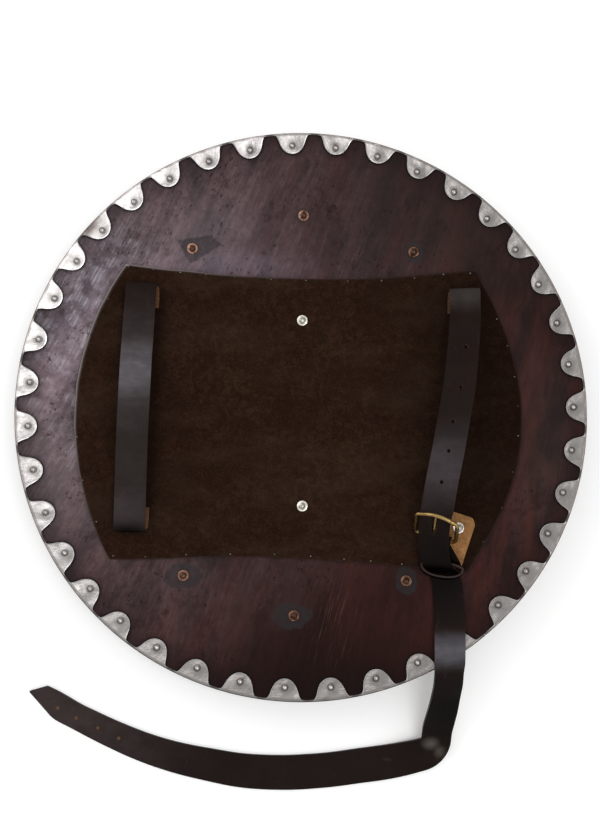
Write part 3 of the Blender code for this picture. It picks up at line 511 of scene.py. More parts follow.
class Wiring:
    """Adds and joins the nodes of one material or one node group."""

    def __init__(self, tree):
        self.tree = tree

    def node(self, kind, **settings):
        made = self.tree.nodes.new("ShaderNode" + kind)
        for name, value in settings.items():
            setattr(made, name, value)
        return made

    def feed(self, socket, value):
        """Joins a socket to another one, or gives it a plain value."""
        if isinstance(value, bpy.types.NodeSocket):
            self.tree.links.new(value, socket)
        elif isinstance(value, (tuple, list)) and len(socket.default_value) == 4:
            socket.default_value = (*value[:3], 1.0)
        else:
            socket.default_value = value

    def maths(self, operation, first, second=0.0, third=0.0, clamp=False):
        made = self.node("Math", operation=operation, use_clamp=clamp)
        for socket, value in zip(made.inputs, (first, second, third)):
            self.feed(socket, value)
        return made.outputs[0]

    def times(self, first, second):
        return self.maths("MULTIPLY", first, second)

    def vector(self, operation, first, second=(0, 0, 0)):
        made = self.node("VectorMath", operation=operation)
        self.feed(made.inputs[0], first)
        self.feed(made.inputs[1], second)
        return made.outputs["Value" if operation in ("LENGTH", "DOT_PRODUCT") else "Vector"]

    def parts(self, vector):
        """The three numbers of a vector."""
        made = self.node("SeparateXYZ")
        self.feed(made.inputs[0], vector)
        return made.outputs

    def out_from_axis(self, place):
        return self.vector("LENGTH", self.vector("MULTIPLY", place, (1, 1, 0)))

    def mix(self, share, first, second, blend="MIX"):
        made = self.node("Mix", data_type="RGBA", blend_type=blend)
        self.feed(made.inputs["Factor"], share)
        self.feed(made.inputs[6], first)
        self.feed(made.inputs[7], second)
        return made.outputs[2]

    def turned(self, vector, scale=(1, 1, 1), turn=(0, 0, 0), shift=(0, 0, 0)):
        made = self.node("Mapping")
        self.feed(made.inputs["Vector"], vector)
        made.inputs["Location"].default_value = shift
        made.inputs["Rotation"].default_value = turn
        made.inputs["Scale"].default_value = scale
        return made.outputs[0]

    def noise(self, vector, scale, detail=3.0, roughness=0.5, distortion=0.0):
        made = self.node("TexNoise")
        settings = (("Vector", vector), ("Scale", scale), ("Detail", detail),
                    ("Roughness", roughness), ("Distortion", distortion))
        for name, value in settings:
            self.feed(made.inputs[name], value)
        return made.outputs[0]

    def cells(self, vector, scale):
        """How far a place lies from the nearest wall between cells."""
        made = self.node("TexVoronoi", feature="DISTANCE_TO_EDGE")
        self.feed(made.inputs["Vector"], vector)
        self.feed(made.inputs["Scale"], scale)
        return made.outputs["Distance"]

    def ranged(self, value, low, high, to_low=0.0, to_high=1.0):
        """Value eased from one range to another and held at its ends."""
        made = self.node("MapRange", interpolation_type="SMOOTHSTEP")
        for socket, number in zip(made.inputs, (value, low, high, to_low, to_high)):
            self.feed(socket, number)
        return made.outputs[0]

    def group(self, name, **inputs):
        made = self.node("Group")
        made.node_tree = bpy.data.node_groups[name]
        for key, value in inputs.items():
            self.feed(made.inputs[key.replace("_", " ").capitalize()], value)
        return made.outputs[0]

    def bump(self, height, strength, distance):
        made = self.node("Bump")
        made.inputs["Strength"].default_value = strength
        made.inputs["Distance"].default_value = distance
        self.feed(made.inputs["Height"], height)
        return made.outputs[0]

    def fanned(self, place):
        """Place measured along and across a fan of lines that meet far beyond one side."""
        swayed = self.vector("ADD", place, self.times(self.noise(place, 8.0, 2.0), 0.012))
        x, y, z = self.parts(self.vector("SUBTRACT", swayed, (*GRAIN_CENTRE, 0.0)))
        squares = self.maths("MULTIPLY_ADD", x, x, self.times(y, y))
        made = self.node("CombineXYZ")
        self.feed(made.inputs[0], self.maths("SQRT", squares))
        angle = self.maths("ARCTAN2", y, x)
        self.feed(made.inputs[1], self.times(angle, math.hypot(*GRAIN_CENTRE)))
        self.feed(made.inputs[2], z)
        return made.outputs[0]

    def place(self):
        return self.node("TexCoord").outputs["Object"]

    def attribute(self, name, output="Fac"):
        made = self.node("Attribute", attribute_name=name, attribute_type="GEOMETRY")
        return made.outputs[output]

    def bloom(self, place):
        return self.group("Bloom", vector=place)

    def glow(self, place, centre, radius, stretch=(1, 1)):
        """A soft round patch at a plan place, full in its middle."""
        return self.group("Glow", vector=place, centre=(*centre, 0), radius=radius,
                          stretch=(*stretch, 0))

    def mottle(self, vector, scale, contrast):
        return self.group("Mottle", vector=vector, scale=scale, contrast=contrast)

    def streaks(self, vector, scale, low, high):
        return self.group("Streaks", vector=vector, scale=scale, low=low, high=high)

    def paint(self, body, mask, tone, share=None, blend="MIX"):
        """Lays a tone over a body where a mask lets it, or a share of the mask."""
        return self.mix(mask if share is None else self.times(mask, share), body, tone, blend)


def new_group(name, inputs, output="Value"):
    """An empty node group: its wiring, its input sockets by name and its output socket."""
    tree = bpy.data.node_groups.new(name, "ShaderNodeTree")
    for key, kind, default in inputs:
        made = tree.interface.new_socket(name=key, in_out="INPUT", socket_type=kind)
        if default is not None:
            made.default_value = default
    tree.interface.new_socket(name=output, in_out="OUTPUT", socket_type="NodeSocketFloat")
    wiring = Wiring(tree)
    entry = tree.nodes.new("NodeGroupInput")
    leave = tree.nodes.new("NodeGroupOutput")
    return wiring, entry.outputs, leave.inputs[0]


def build_groups():
    """The effects that several finishes share."""
    number, arrow = "NodeSocketFloat", "NodeSocketVector"
    place = ("Vector", arrow, None)
    wiring, given, result = new_group("Mottle", (
        place, ("Scale", number, 40.0), ("Contrast", number, 1.0),
    ))
    broad = wiring.noise(given["Vector"], given["Scale"], 2.0, 0.5, 0.6)
    fine = wiring.noise(given["Vector"], wiring.times(given["Scale"], 5.3), 4.0, 0.6)
    both = wiring.maths("MULTIPLY_ADD", fine, 0.35, wiring.times(broad, 0.65))
    centred = wiring.times(wiring.maths("SUBTRACT", both, 0.5), given["Contrast"])
    wiring.feed(result, wiring.maths("ADD", centred, 0.5, clamp=True))

    wiring, given, result = new_group("Streaks", (
        place, ("Scale", number, 200.0), ("Low", number, 0.4), ("High", number, 0.7),
    ))
    lines = wiring.noise(given["Vector"], given["Scale"], 5.0, 0.62, 0.3)
    wiring.feed(result, wiring.ranged(lines, given["Low"], given["High"]))

    wiring, given, result = new_group("Scratches", (
        place, ("Scale", number, 30.0), ("Thinness", number, 0.02),
    ))
    bent = wiring.noise(given["Vector"], 9.0, 2.0, 0.5)
    spread = wiring.vector("ADD", given["Vector"], wiring.times(bent, 0.04))
    thin = wiring.ranged(wiring.cells(spread, given["Scale"]), 0.0, given["Thinness"], 1.0, 0.0)
    broken = wiring.ranged(wiring.noise(given["Vector"], 55.0, 2.0), 0.52, 0.66)
    wiring.feed(result, wiring.times(thin, broken))

    # round patches: one with a rough edge, one that fades from its middle
    for name in ("Spot", "Glow"):
        wiring, given, result = new_group(name, (
            place, ("Centre", arrow, None), ("Radius", number, 0.02),
            ("Stretch", arrow, (1.0, 1.0, 0.0)),
        ))
        offset = wiring.vector("SUBTRACT", given["Vector"], given["Centre"])
        reach = wiring.vector("LENGTH", wiring.vector("MULTIPLY", offset, given["Stretch"]))
        inner = 0.0
        if name == "Spot":
            rough = wiring.times(wiring.noise(given["Vector"], 90.0, 4.0), 0.012)
            reach = wiring.maths("SUBTRACT", wiring.maths("ADD", reach, rough), 0.006)
            inner = wiring.times(given["Radius"], 0.84)
        wiring.feed(result, wiring.ranged(reach, inner, given["Radius"], 1.0, 0.0))

    # a straight-sided patch: the least of how far a place lies inside each of four sides
    wiring, given, result = new_group("Patch", (place,))
    wander = wiring.times(wiring.noise(given["Vector"], 85.0, 4.0), 0.0042)
    inside = None
    for (x, y), (next_x, next_y) in zip(STAIN_CORNERS, STAIN_CORNERS[1:] + STAIN_CORNERS[:1]):
        side = Vector((next_x - x, next_y - y, 0.0)).normalized()
        normal = (side.y, -side.x, 0.0)
        level = wiring.vector("DOT_PRODUCT", given["Vector"], normal)
        depth = wiring.maths("SUBTRACT", level, x * normal[0] + y * normal[1])
        inside = depth if inside is None else wiring.maths("MINIMUM", inside, depth)
    wiring.feed(result, wiring.ranged(wiring.maths("ADD", inside, wander), 0.0008, 0.0034))

    # painted sheen and rubbed lacquer, fading from the upper left of the back to the lower right
    wiring, given, result = new_group("Bloom", (place,))
    offset = wiring.vector("SUBTRACT", given["Vector"], (*SHEEN_CENTRE, 0.0))
    faded = wiring.maths("MULTIPLY_ADD", wiring.out_from_axis(offset), -SHEEN_FADE, 1.0, clamp=True)
    wiring.feed(result, faded)


def scaled(tone, share):
    return tuple(part * share for part in tone)


def dress(wiring, shader, body, roughness, specular, relief):
    """Joins a finish's colour, roughness and relief (height, strength, depth) to its shader."""
    wiring.feed(shader["Base Color"], body)
    wiring.feed(shader["Roughness"], roughness)
    shader["Specular IOR Level"].default_value = specular
    wiring.feed(shader["Normal"], wiring.bump(*relief))


# ---------------------------------------------------------------- finishes

def wood_finish(wiring, shader, colours):
    """Dark stained wood: slanting strokes of grain, red patches, painted sheen on rubbed lacquer,
    rivet stains.
    """
    place = wiring.place()
    wood, red, sheen_haze_tone = colours.wood[:], colours.wood_red[:], colours.wood_haze[:]
    along = wiring.fanned(place)
    hairs = wiring.streaks(wiring.turned(along, (0.06, 1, 0.3)), 520.0, 0.46, 0.68)
    strokes = wiring.streaks(wiring.turned(along, (0.11, 1, 0.3), shift=(1, 4, 0)),
                             170.0, 0.42, 0.66)
    lines = wiring.maths("MULTIPLY_ADD", hairs, 0.60, wiring.times(strokes, 0.40))
    smudge = wiring.noise(wiring.turned(along, (0.45, 1, 0.4), shift=(5, 2, 0)), 27.0, 6.0, 0.68)
    grit = wiring.noise(place, 140.0, 5.0, 0.72)
    bloom = wiring.bloom(place)

    # the stain itself, from dark smudges to long redder bands
    body = wiring.mix(wiring.ranged(smudge, 0.36, 0.64), scaled(wood, 0.48), scaled(wood, 1.40))
    bands = wiring.noise(wiring.turned(along, (0.14, 1, 0.3), shift=(3, 7, 0)), 30.0, 5.0, 0.6)
    patches = wiring.noise(wiring.turned(along, (0.5, 1, 0.3), shift=(9, 1, 0)), 13.0, 4.0, 0.6)
    banded = wiring.times(wiring.ranged(bands, 0.42, 0.62), wiring.ranged(patches, 0.38, 0.58))
    body = wiring.paint(body, banded, red, wiring.maths("SUBTRACT", 0.84, bloom))
    ember = wiring.times(wiring.glow(place, (0.085, -0.240), 0.115, (1.1, 1)),
                         wiring.ranged(smudge, 0.36, 0.62, 0.25, 1.0))
    warm = wiring.times(wiring.glow(place, (-0.120, -0.235), 0.150, (0.9, 1.2)),
                        wiring.ranged(bands, 0.46, 0.60))
    body = wiring.paint(body, ember, red, 0.85)
    body = wiring.paint(body, warm, red, 0.45)
    faint = wiring.times(lines, wiring.ranged(smudge, 0.35, 0.65, 0.25, 0.75))
    body = wiring.paint(body, faint, (0.0170, 0.0072, 0.0066), blend="ADD")

    # painted sheen and rubbed lacquer, broken up by strokes, smudges and grit
    cloud = wiring.times(wiring.ranged(smudge, 0.32, 0.68, 0.62, 1.28),
                         wiring.ranged(grit, 0.34, 0.66, 0.74, 1.22))
    sheen_haze_mask = wiring.times(bloom, wiring.maths("MULTIPLY_ADD", lines, 0.72, 0.78))
    body = wiring.paint(body, sheen_haze_mask, sheen_haze_tone, cloud, "ADD")
    # a patch of painted sheen at the upper left, with painted highlight strokes in it
    rubbed = wiring.glow(place, (-0.255, 0.100), 0.19, (1.2, 0.9))
    body = wiring.paint(body, rubbed, (0.062, 0.055, 0.068), cloud, "ADD")
    for centre, radius, stretch, tone in WOOD_SHEEN_AND_HAZE:
        body = wiring.paint(body, wiring.glow(place, centre, radius, stretch), tone, blend="ADD")
    highlight_strokes = wiring.times(wiring.ranged(wiring.noise(place, 44.0, 6.0, 0.66), 0.45, 0.60),
                         wiring.maths("MULTIPLY_ADD", hairs, 0.68, 0.26))
    body = wiring.paint(body, rubbed, (0.26, 0.255, 0.285), highlight_strokes, "ADD")
    for centre, radius, stretch, tone, share in WOOD_DARK:
        body = wiring.paint(body, wiring.glow(place, centre, radius, stretch), tone, share)

    # specks of lost stain and dark blots
    specks = wiring.noise(wiring.turned(along, (0.6, 1, 1)), 270.0, 4.0, 0.6)
    pitted = wiring.times(wiring.ranged(specks, 0.59, 0.66),
                          wiring.ranged(wiring.noise(place, 21.0, 3.0), 0.44, 0.58))
    body = wiring.paint(body, pitted, scaled(wood, 0.40), 0.75)
    blots = wiring.ranged(wiring.noise(place, 38.0, 6.0, 0.68), 0.57, 0.68)
    body = wiring.paint(body, blots, scaled(wood, 0.55), 0.50)

    # a sheaf of pale parallel scratches below the pad
    sheaf = wiring.glow(place, (0.030, -0.224), 0.060, (1.3, 0.8))
    scored = wiring.streaks(wiring.turned(along, (0.03, 1, 0.1)), 700.0, 0.54, 0.64)
    body = wiring.paint(body, sheaf, (0.034, 0.018, 0.017), scored, "ADD")

    stains = wiring.group("Patch", vector=place)
    for centre, radius, stretch in STAIN_SPOTS:
        spot = wiring.group("Spot", vector=place, centre=(*centre, 0), radius=radius,
                            stretch=(*stretch, 0))
        stains = wiring.maths("MAXIMUM", stains, spot)
    # the stains are painted paler where the painted sheen falls
    stain = wiring.mix(bloom, colours.stain[:], scaled(colours.stain, 2.5))
    soaked = wiring.times(stains, wiring.ranged(grit, 0.34, 0.60, 1.0, 0.74))
    body = wiring.paint(body, soaked, stain, wiring.ranged(smudge, 0.38, 0.64, 1.0, 0.86))

    # painted shade and dirt darken the wood towards the rim and against the tabs
    rim_shade_and_dirt = wiring.ranged(wiring.out_from_axis(place), 0.272, 0.301, 0.0, 0.50)
    body = wiring.paint(body, rim_shade_and_dirt, scaled(wood, 0.30))
    body = wiring.paint(body, wiring.attribute("tab_shade"), scaled(wood, 0.12))

    relief = wiring.maths("SUBTRACT", lines, wiring.times(pitted, 0.5))
    satin = wiring.ranged(lines, 0.0, 1.0, 0.36, 0.50)
    dress(wiring, shader, body, satin, 0.05, (relief, 0.30, 0.0004))


def steel_finish(wiring, shader, colours):
    """Brushed sheet steel with soft hammer marks, bright cut edges, a little tarnish, painted light
    and shade.
    """
    place = wiring.place()
    steel = colours.steel[:]
    mottle = wiring.mottle(place, 60.0, 1.7)
    brushed = wiring.streaks(wiring.turned(place, (0.08, 1, 1), (0, 0, 0.5)), 900.0, 0.3, 0.75)
    tone = wiring.mix(wiring.ranged(mottle, 0.20, 0.80), scaled(steel, 0.86), scaled(steel, 1.06))
    tone = wiring.paint(tone, brushed, scaled(steel, 0.70), 0.14)
    # painted shade towards the tips of the tabs, most at the lower right
    reach = wiring.out_from_axis(place)
    bloom = wiring.bloom(place)
    tips = wiring.ranged(reach, 0.2850, 0.3005, 0.42, 0.0)
    tone = wiring.paint(tone, tips, scaled(steel, 0.52), wiring.maths("SUBTRACT", 1.0, bloom))
    clouds = wiring.noise(place, 62.0, 4.0, 0.6, 0.8)
    tone = wiring.paint(tone, wiring.ranged(clouds, 0.50, 0.68, 0.0, 0.55), scaled(steel, 0.60))
    specks = wiring.ranged(wiring.noise(place, 260.0, 4.0, 0.7), 0.66, 0.74)
    tone = wiring.paint(tone, specks, (0.13, 0.09, 0.07), 0.35)
    # painted light and shade: brighter at the upper left where the painted sheen falls
    shade = wiring.mix(bloom, (0.545, 0.532, 0.522), (0.94, 0.94, 0.95))
    tone = wiring.mix(1.0, tone, shade, "MULTIPLY")
    # dark joint and painted shade round each rivet; painted shade in the dimple at its upper left
    around = wiring.attribute("from_rivet", "Vector")
    near = wiring.vector("LENGTH", around)
    joint_and_shade = wiring.maths("SUBTRACT", wiring.ranged(near, 0.92, 1.12),
                         wiring.ranged(near, 1.18, 1.75))
    aside = wiring.vector("LENGTH", wiring.vector("ADD", around, (0.55, -0.45, 0.0)))
    dimple = wiring.times(wiring.ranged(aside, 0.8, 2.9, 1.0, 0.0),
                          wiring.ranged(wiring.noise(place, 30.0, 2.0), 0.42, 0.62, 0.30, 0.70))
    tone = wiring.paint(tone, dimple, (0.105, 0.088, 0.080))
    tone = wiring.paint(tone, joint_and_shade, (0.045, 0.036, 0.032), 0.80)
    # the bright cut edges carry a painted highlight as well
    edge = wiring.maths("POWER", wiring.attribute("cut_edge"), 3.0)
    tone = wiring.paint(tone, edge, (0.80, 0.79, 0.78), 0.72)
    # the wall is browner than the tabs, with painted shade towards the bottom; brown creeps in at
    # the upper left
    _, north, height = wiring.parts(place)
    wall = wiring.mix(wiring.ranged(north, -0.26, -0.05), (0.045, 0.036, 0.032),
                      (0.27, 0.165, 0.120))
    walled = wiring.ranged(reach, 0.3030, 0.3044, 0.0, 0.85)
    tone = wiring.paint(tone, walled, wall, wiring.ranged(height, 0.0490, 0.0532, 0.35, 1.0))
    # painted shade and dirt darken the notches' lips
    lip = wiring.attribute("notch_lip")
    tone = wiring.paint(tone, lip, (0.020, 0.014, 0.012))
    creep = wiring.times(wiring.glow(place, (-0.2330, 0.1990), 0.031),
                         wiring.ranged(reach, 0.2900, 0.3010))
    tone = wiring.paint(tone, creep, (0.055, 0.040, 0.033), 0.95)
    wiring.feed(shader["Metallic"], wiring.ranged(lip, 0.1, 0.8, 1.0, 0.0))
    satin = wiring.maths("MULTIPLY_ADD", lip, 0.4, wiring.ranged(mottle, 0.2, 0.8, 0.34, 0.27))
    relief = wiring.maths("MULTIPLY_ADD", brushed, 0.05, wiring.noise(place, 75.0, 2.0, 0.45))
    dress(wiring, shader, tone, satin, 0.5, (relief, 0.30, 0.0022))


def suede_finish(wiring, shader, colours):
    """Napped brown suede, cloudy and softly rubbed, with painted shade towards its right end."""
    place = wiring.place()
    suede = colours.suede[:]
    cloud = wiring.noise(place, 11.0, 5.0, 0.62, 0.5)
    patches = wiring.noise(place, 45.0, 5.0, 0.6, 0.4)
    nap = wiring.mottle(place, 150.0, 2.0)
    rubs = wiring.streaks(wiring.turned(place, (0.40, 1, 1), (0, 0, 0.85)), 21.0, 0.46, 0.74)
    fibres = wiring.noise(place, 620.0, 3.0, 0.75)
    base = wiring.mix(wiring.ranged(cloud, 0.34, 0.66), scaled(suede, 0.80), scaled(suede, 1.18))
    # where each one starts and ends, its share there, and the tone it brings
    for mask, start, end, low, high, tone in (
        (patches, 0.44, 0.66, 0.0, 0.42, 1.55), (patches, 0.36, 0.50, 0.35, 0.0, 0.60),
        (nap, 0.25, 0.75, 0.85, 0.0, 0.58), (fibres, 0.40, 0.56, 0.44, 0.0, 0.50),
        (fibres, 0.52, 0.66, 0.0, 0.40, 1.95),
    ):
        base = wiring.paint(base, wiring.ranged(mask, start, end, low, high), scaled(suede, tone))
    base = wiring.paint(base, rubs, (0.052, 0.034, 0.024), 0.22)
    # painted shade towards the right end
    east = wiring.parts(place)[0]
    base = wiring.paint(base, wiring.ranged(east, 0.03, 0.27, 0.0, 0.70), scaled(suede, 0.25))
    # the pale cut edge is strongest at the upper left, where it carries a painted highlight
    edge = wiring.maths("POWER", wiring.attribute("cut_edge"), 3.5)
    bloom = wiring.ranged(wiring.bloom(place), 0.35, 0.75)
    base = wiring.paint(base, edge, colours.suede_edge[:],
                        wiring.maths("MULTIPLY_ADD", bloom, 0.95, 0.05))
    # painted shadow beside the arm strap
    base = wiring.paint(base, wiring.attribute("strap_shade"), scaled(suede, 0.25))
    relief = wiring.maths("MULTIPLY_ADD", nap, 0.8, wiring.times(fibres, 0.4))
    dress(wiring, shader, base, 0.95, 0.0, (relief, 0.55, 0.0007))


def cut_edge_finish(wiring, shader, tone, roughness):
    """The fibrous cut edge of a piece of leather."""
    fibres = wiring.mottle(wiring.place(), 260.0, 2.0)
    body = wiring.mix(fibres, scaled(tone, 0.55), scaled(tone, 1.35))
    dress(wiring, shader, body, roughness, 0.25, (fibres, 0.4, 0.0004))


def leather_finish(wiring, shader, colours):
    """The straps' dressed grain side: pored and dark, with painted sheen and painted shade in
    places.
    """
    place = wiring.place()
    leather = colours.leather[:]
    cloud = wiring.mottle(place, 26.0, 1.8)
    slants = wiring.streaks(wiring.turned(place, (0.30, 1, 1), (0, 0, -0.6)), 75.0, 0.40, 0.70)
    base = wiring.mix(cloud, scaled(leather, 0.78), scaled(leather, 1.30))
    # the painted sheen is broken up by slanting streaks and clouds
    worn = wiring.ranged(wiring.maths("MULTIPLY_ADD", slants, 0.5, cloud), 0.3, 1.1, 0.75, 1.20)
    for centre, radius, stretch, tone in STRAP_PAINTED_SHEEN:
        base = wiring.paint(base, wiring.glow(place, centre, radius, stretch), tone, worn, "ADD")
    # painted shade where the straps turn down or away
    for centre, radius, stretch in STRAP_PAINTED_SHADE:
        glow = wiring.glow(place, centre, radius, stretch)
        base = wiring.paint(base, glow, scaled(leather, 0.12), 0.96)
    scuffs = wiring.group("Scratches", vector=wiring.turned(place, (1, 0.5, 1), (0, 0, 0.9)),
                          scale=48.0, thinness=0.02)
    base = wiring.paint(base, scuffs, (0.10, 0.085, 0.085), 0.10)
    pores = wiring.ranged(wiring.cells(place, 1100.0), 0.0, 0.25)
    relief = wiring.maths("MULTIPLY_ADD", pores, 0.25, wiring.noise(place, 130.0, 3.0))
    satin = wiring.ranged(cloud, 0.2, 0.8, 0.34, 0.44)
    dress(wiring, shader, base, satin, 0.035, (relief, 0.28, 0.0006))


def flesh_finish(wiring, shader, tone):
    """Raw flesh side: matt and fibrous."""
    place = wiring.place()
    fibres = wiring.mottle(place, 330.0, 3.4)
    base = wiring.mix(wiring.mottle(place, 95.0, 2.8), scaled(tone, 0.66), scaled(tone, 1.42))
    base = wiring.paint(base, fibres, scaled(tone, 0.46), 0.60)
    dress(wiring, shader, base, 0.9, 0.2, (fibres, 0.6, 0.0006))


def metal_finish(wiring, shader, tone, dark, roughness, tarnish=(0.30, 0.72), shaded_level=0.0):
    """Old cast or struck metal: clouded, with darker tarnish and fine scratches, and for some
    painted shade.
    """
    place = wiring.place()
    cloud = wiring.mottle(place, 190.0, 2.0)
    base = wiring.mix(wiring.ranged(cloud, *tarnish, 1.0, 0.0), tone, dark)
    # painted shade: darker away from the painted sheen at the upper left
    if shaded_level:
        bloom = wiring.ranged(wiring.bloom(place), 0.05, 0.60)
        painted_shade = wiring.mix(bloom, (shaded_level, shaded_level * 0.92, shaded_level * 0.86), (1.0, 1.0, 1.0))
        base = wiring.mix(1.0, base, painted_shade, "MULTIPLY")
    shader["Metallic"].default_value = 1.0
    worn = wiring.group("Scratches", vector=place, scale=420.0, thinness=0.05)
    relief = wiring.maths("MULTIPLY_ADD", worn, -0.4, cloud)
    satin = wiring.ranged(cloud, 0.2, 0.8, roughness + 0.12, roughness)
    dress(wiring, shader, base, satin, 0.5, (relief, 0.10, 0.0004))


def floor_finish(wiring, shader, colours):
    """Plain pale floor that glows a little, so that it stays pale to its edges."""
    tone = wiring.mix(wiring.noise(wiring.place(), 3.0, 2.0), scaled(colours.floor, 0.985),
                      colours.floor[:])
    for name in ("Base Color", "Emission Color"):
        wiring.feed(shader[name], tone)
    for name, value in (("Roughness", 0.9), ("Specular IOR Level", 0.1),
                        ("Emission Strength", 0.12)):
        shader[name].default_value = value


# What makes each finish; most small ones also have their tone, how much of it they take and,
# for metals, their darker tone, roughness, reach of the tarnish and painted shade away from the
# painted sheen
FINISHES = {
    "wood": (wood_finish,),
    "steel": (steel_finish,),
    "suede": (suede_finish,),
    "leather": (leather_finish,),
    "floor": (floor_finish,),
    "flesh": (flesh_finish, "flesh", 1.0),
    "raw": (flesh_finish, "raw", 1.0),
    "suede_edge": (cut_edge_finish, "suede", 1.6, 0.8),
    "strap_edge": (cut_edge_finish, "strap_edge", 1.0, 0.5),
    "raw_edge": (cut_edge_finish, "raw", 1.0, 0.8),
    "hole": (cut_edge_finish, (0.16, 0.09, 0.05), 1.0, 0.8),
    "brass": (metal_finish, "brass", 1.0, (0.13, 0.08, 0.028), 0.26, (0.12, 0.62)),
    "copper": (metal_finish, "copper", 1.0, (0.10, 0.045, 0.030), 0.27, (0.15, 0.60), 0.42),
    "copper_core": (metal_finish, "copper", 0.24, (0.020, 0.010, 0.006), 0.36, (0.15, 0.70)),
    "nickel": (metal_finish, "nickel", 1.0, (0.55, 0.52, 0.45), 0.22),
    "nickel_core": (metal_finish, "nickel", 0.62, (0.20, 0.19, 0.15), 0.30),
    "tack": (metal_finish, (0.17, 0.15, 0.14), 1.0, (0.05, 0.04, 0.035), 0.40),
    "stud": (metal_finish, (0.52, 0.50, 0.48), 1.0, (0.30, 0.28, 0.26), 0.26),
}


def finish(name):
    """A finish by name, built the first time that a piece asks for it."""
    if "Mottle" not in bpy.data.node_groups:
        build_groups()
    found = bpy.data.materials.get(name + "_look")
    if found:
        return found
    made = bpy.data.materials.new(name + "_look")
    made.use_nodes = True
    wiring = Wiring(made.node_tree)
    shader = made.node_tree.nodes["Principled BSDF"].inputs
    colours = bpy.context.scene.shield_colours
    maker, *values = FINISHES[name]
    if values:
        tone, share, *rest = values
        tone = getattr(colours, tone) if isinstance(tone, str) else tone
        maker(wiring, shader, scaled(tone, share), *rest)
    else:
        maker(wiring, shader, colours)
    return made


# ---------------------------------------------------------------- making pieces

def link_mesh(name, bm, finishes):
    """Turns a bmesh into an object with its finishes in order."""
    mesh = bpy.data.meshes.new(name)
    bm.to_mesh(mesh)
    bm.free()
    for kind in finishes:
        mesh.materials.append(finish(kind))
    made = bpy.data.objects.new(name, mesh)
    bpy.context.scene.collection.objects.link(made)
    return made


def new_piece(name, bm, finishes, nodes, slot, smooth_angle=40):
    """Turns a bmesh into a finished piece that rides on the shield."""
    made = link_mesh(name, bm, finishes)
    made.data.shade_smooth()
    if smooth_angle:
        made.data.set_sharp_from_angle(angle=math.radians(smooth_angle))
    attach(made, BODY)
    if nodes:
        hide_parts(*nodes)
    return made


def add_modifier(made, name, kind, **settings):
    modifier = made.modifiers.new(name, kind)
    for key, value in settings.items():
        setattr(modifier, key, value)


def add_wall(made, thickness, even=True, back=1, rim=2):
    """Thickens a sheet both ways: its back and its cut rim can take later finishes."""
    add_modifier(made, "wall", "SOLIDIFY", thickness=thickness, offset=0.0, use_even_offset=even,
                 material_offset=back, material_offset_rim=rim)


def add_rounding(made, width, segments=2, angle=50):
    add_modifier(made, "edge", "BEVEL", width=width, segments=segments, limit_method="ANGLE",
                 angle_limit=math.radians(angle), profile=0.5)


def cut_out(made, name, bm, kind):
    """Cuts a bmesh out of a piece, its walls in a finish of their own."""
    cutter = link_mesh(name, bm, [kind])
    add_modifier(made, "cut", "BOOLEAN", operation="DIFFERENCE", solver="EXACT", object=cutter,
                 material_mode="TRANSFER")
    settle(made)
    bpy.data.objects.remove(cutter)


def evaluated_mesh(made):
    """What a piece or a curve looks like with everything on it applied, as a new mesh."""
    bpy.context.view_layer.update()
    shaped = made.evaluated_get(bpy.context.evaluated_depsgraph_get())
    return bpy.data.meshes.new_from_object(shaped)


def settle(made):
    """Applies every modifier of a piece."""
    mesh, old = evaluated_mesh(made), made.data
    made.modifiers.clear()
    mesh.name = old.name
    made.data = mesh
    bpy.data.meshes.remove(old)


def add_turned(bm, profile, steps, placed):
    """Spins a profile of (radius, height) points about Z and sets it on a frame."""
    points = [bm.verts.new((radius, 0.0, height)) for radius, height in profile]
    edges = [bm.edges.new(pair) for pair in zip(points, points[1:])]
    bmesh.ops.spin(
        bm, geom=points + edges, cent=(0, 0, 0), axis=(0, 0, 1), dvec=(0, 0, 0),
        angle=2 * math.pi, steps=steps, use_merge=True, use_normal_flip=False,
        use_duplicate=False,
    )
    fresh = [vert for vert in bm.verts if not vert.tag]
    bmesh.ops.remove_doubles(bm, verts=fresh, dist=MERGE_DISTANCE)
    fresh = [vert for vert in bm.verts if not vert.tag]
    faces = [face for face in bm.faces if not face.verts[0].tag]
    bmesh.ops.recalc_face_normals(bm, faces=faces)
    bmesh.ops.transform(bm, matrix=placed, verts=fresh)
    for vert in fresh:
        vert.tag = True
    return fresh


def quarter(radius, height, steps):
    """Points of a quarter of an oval, from (0, height) out to (radius, 0)."""
    turns = [math.pi / 2 * step / steps for step in range(steps + 1)]
    return [(radius * math.sin(turn), height * math.cos(turn)) for turn in turns]


def dome(radius, height, steps, top=0.0):
    """Profile points of a low dome from its crown out to its foot."""
    return [(across, top + up) for across, up in quarter(radius, height, steps)]


# ---------------------------------------------------------------- board and rim

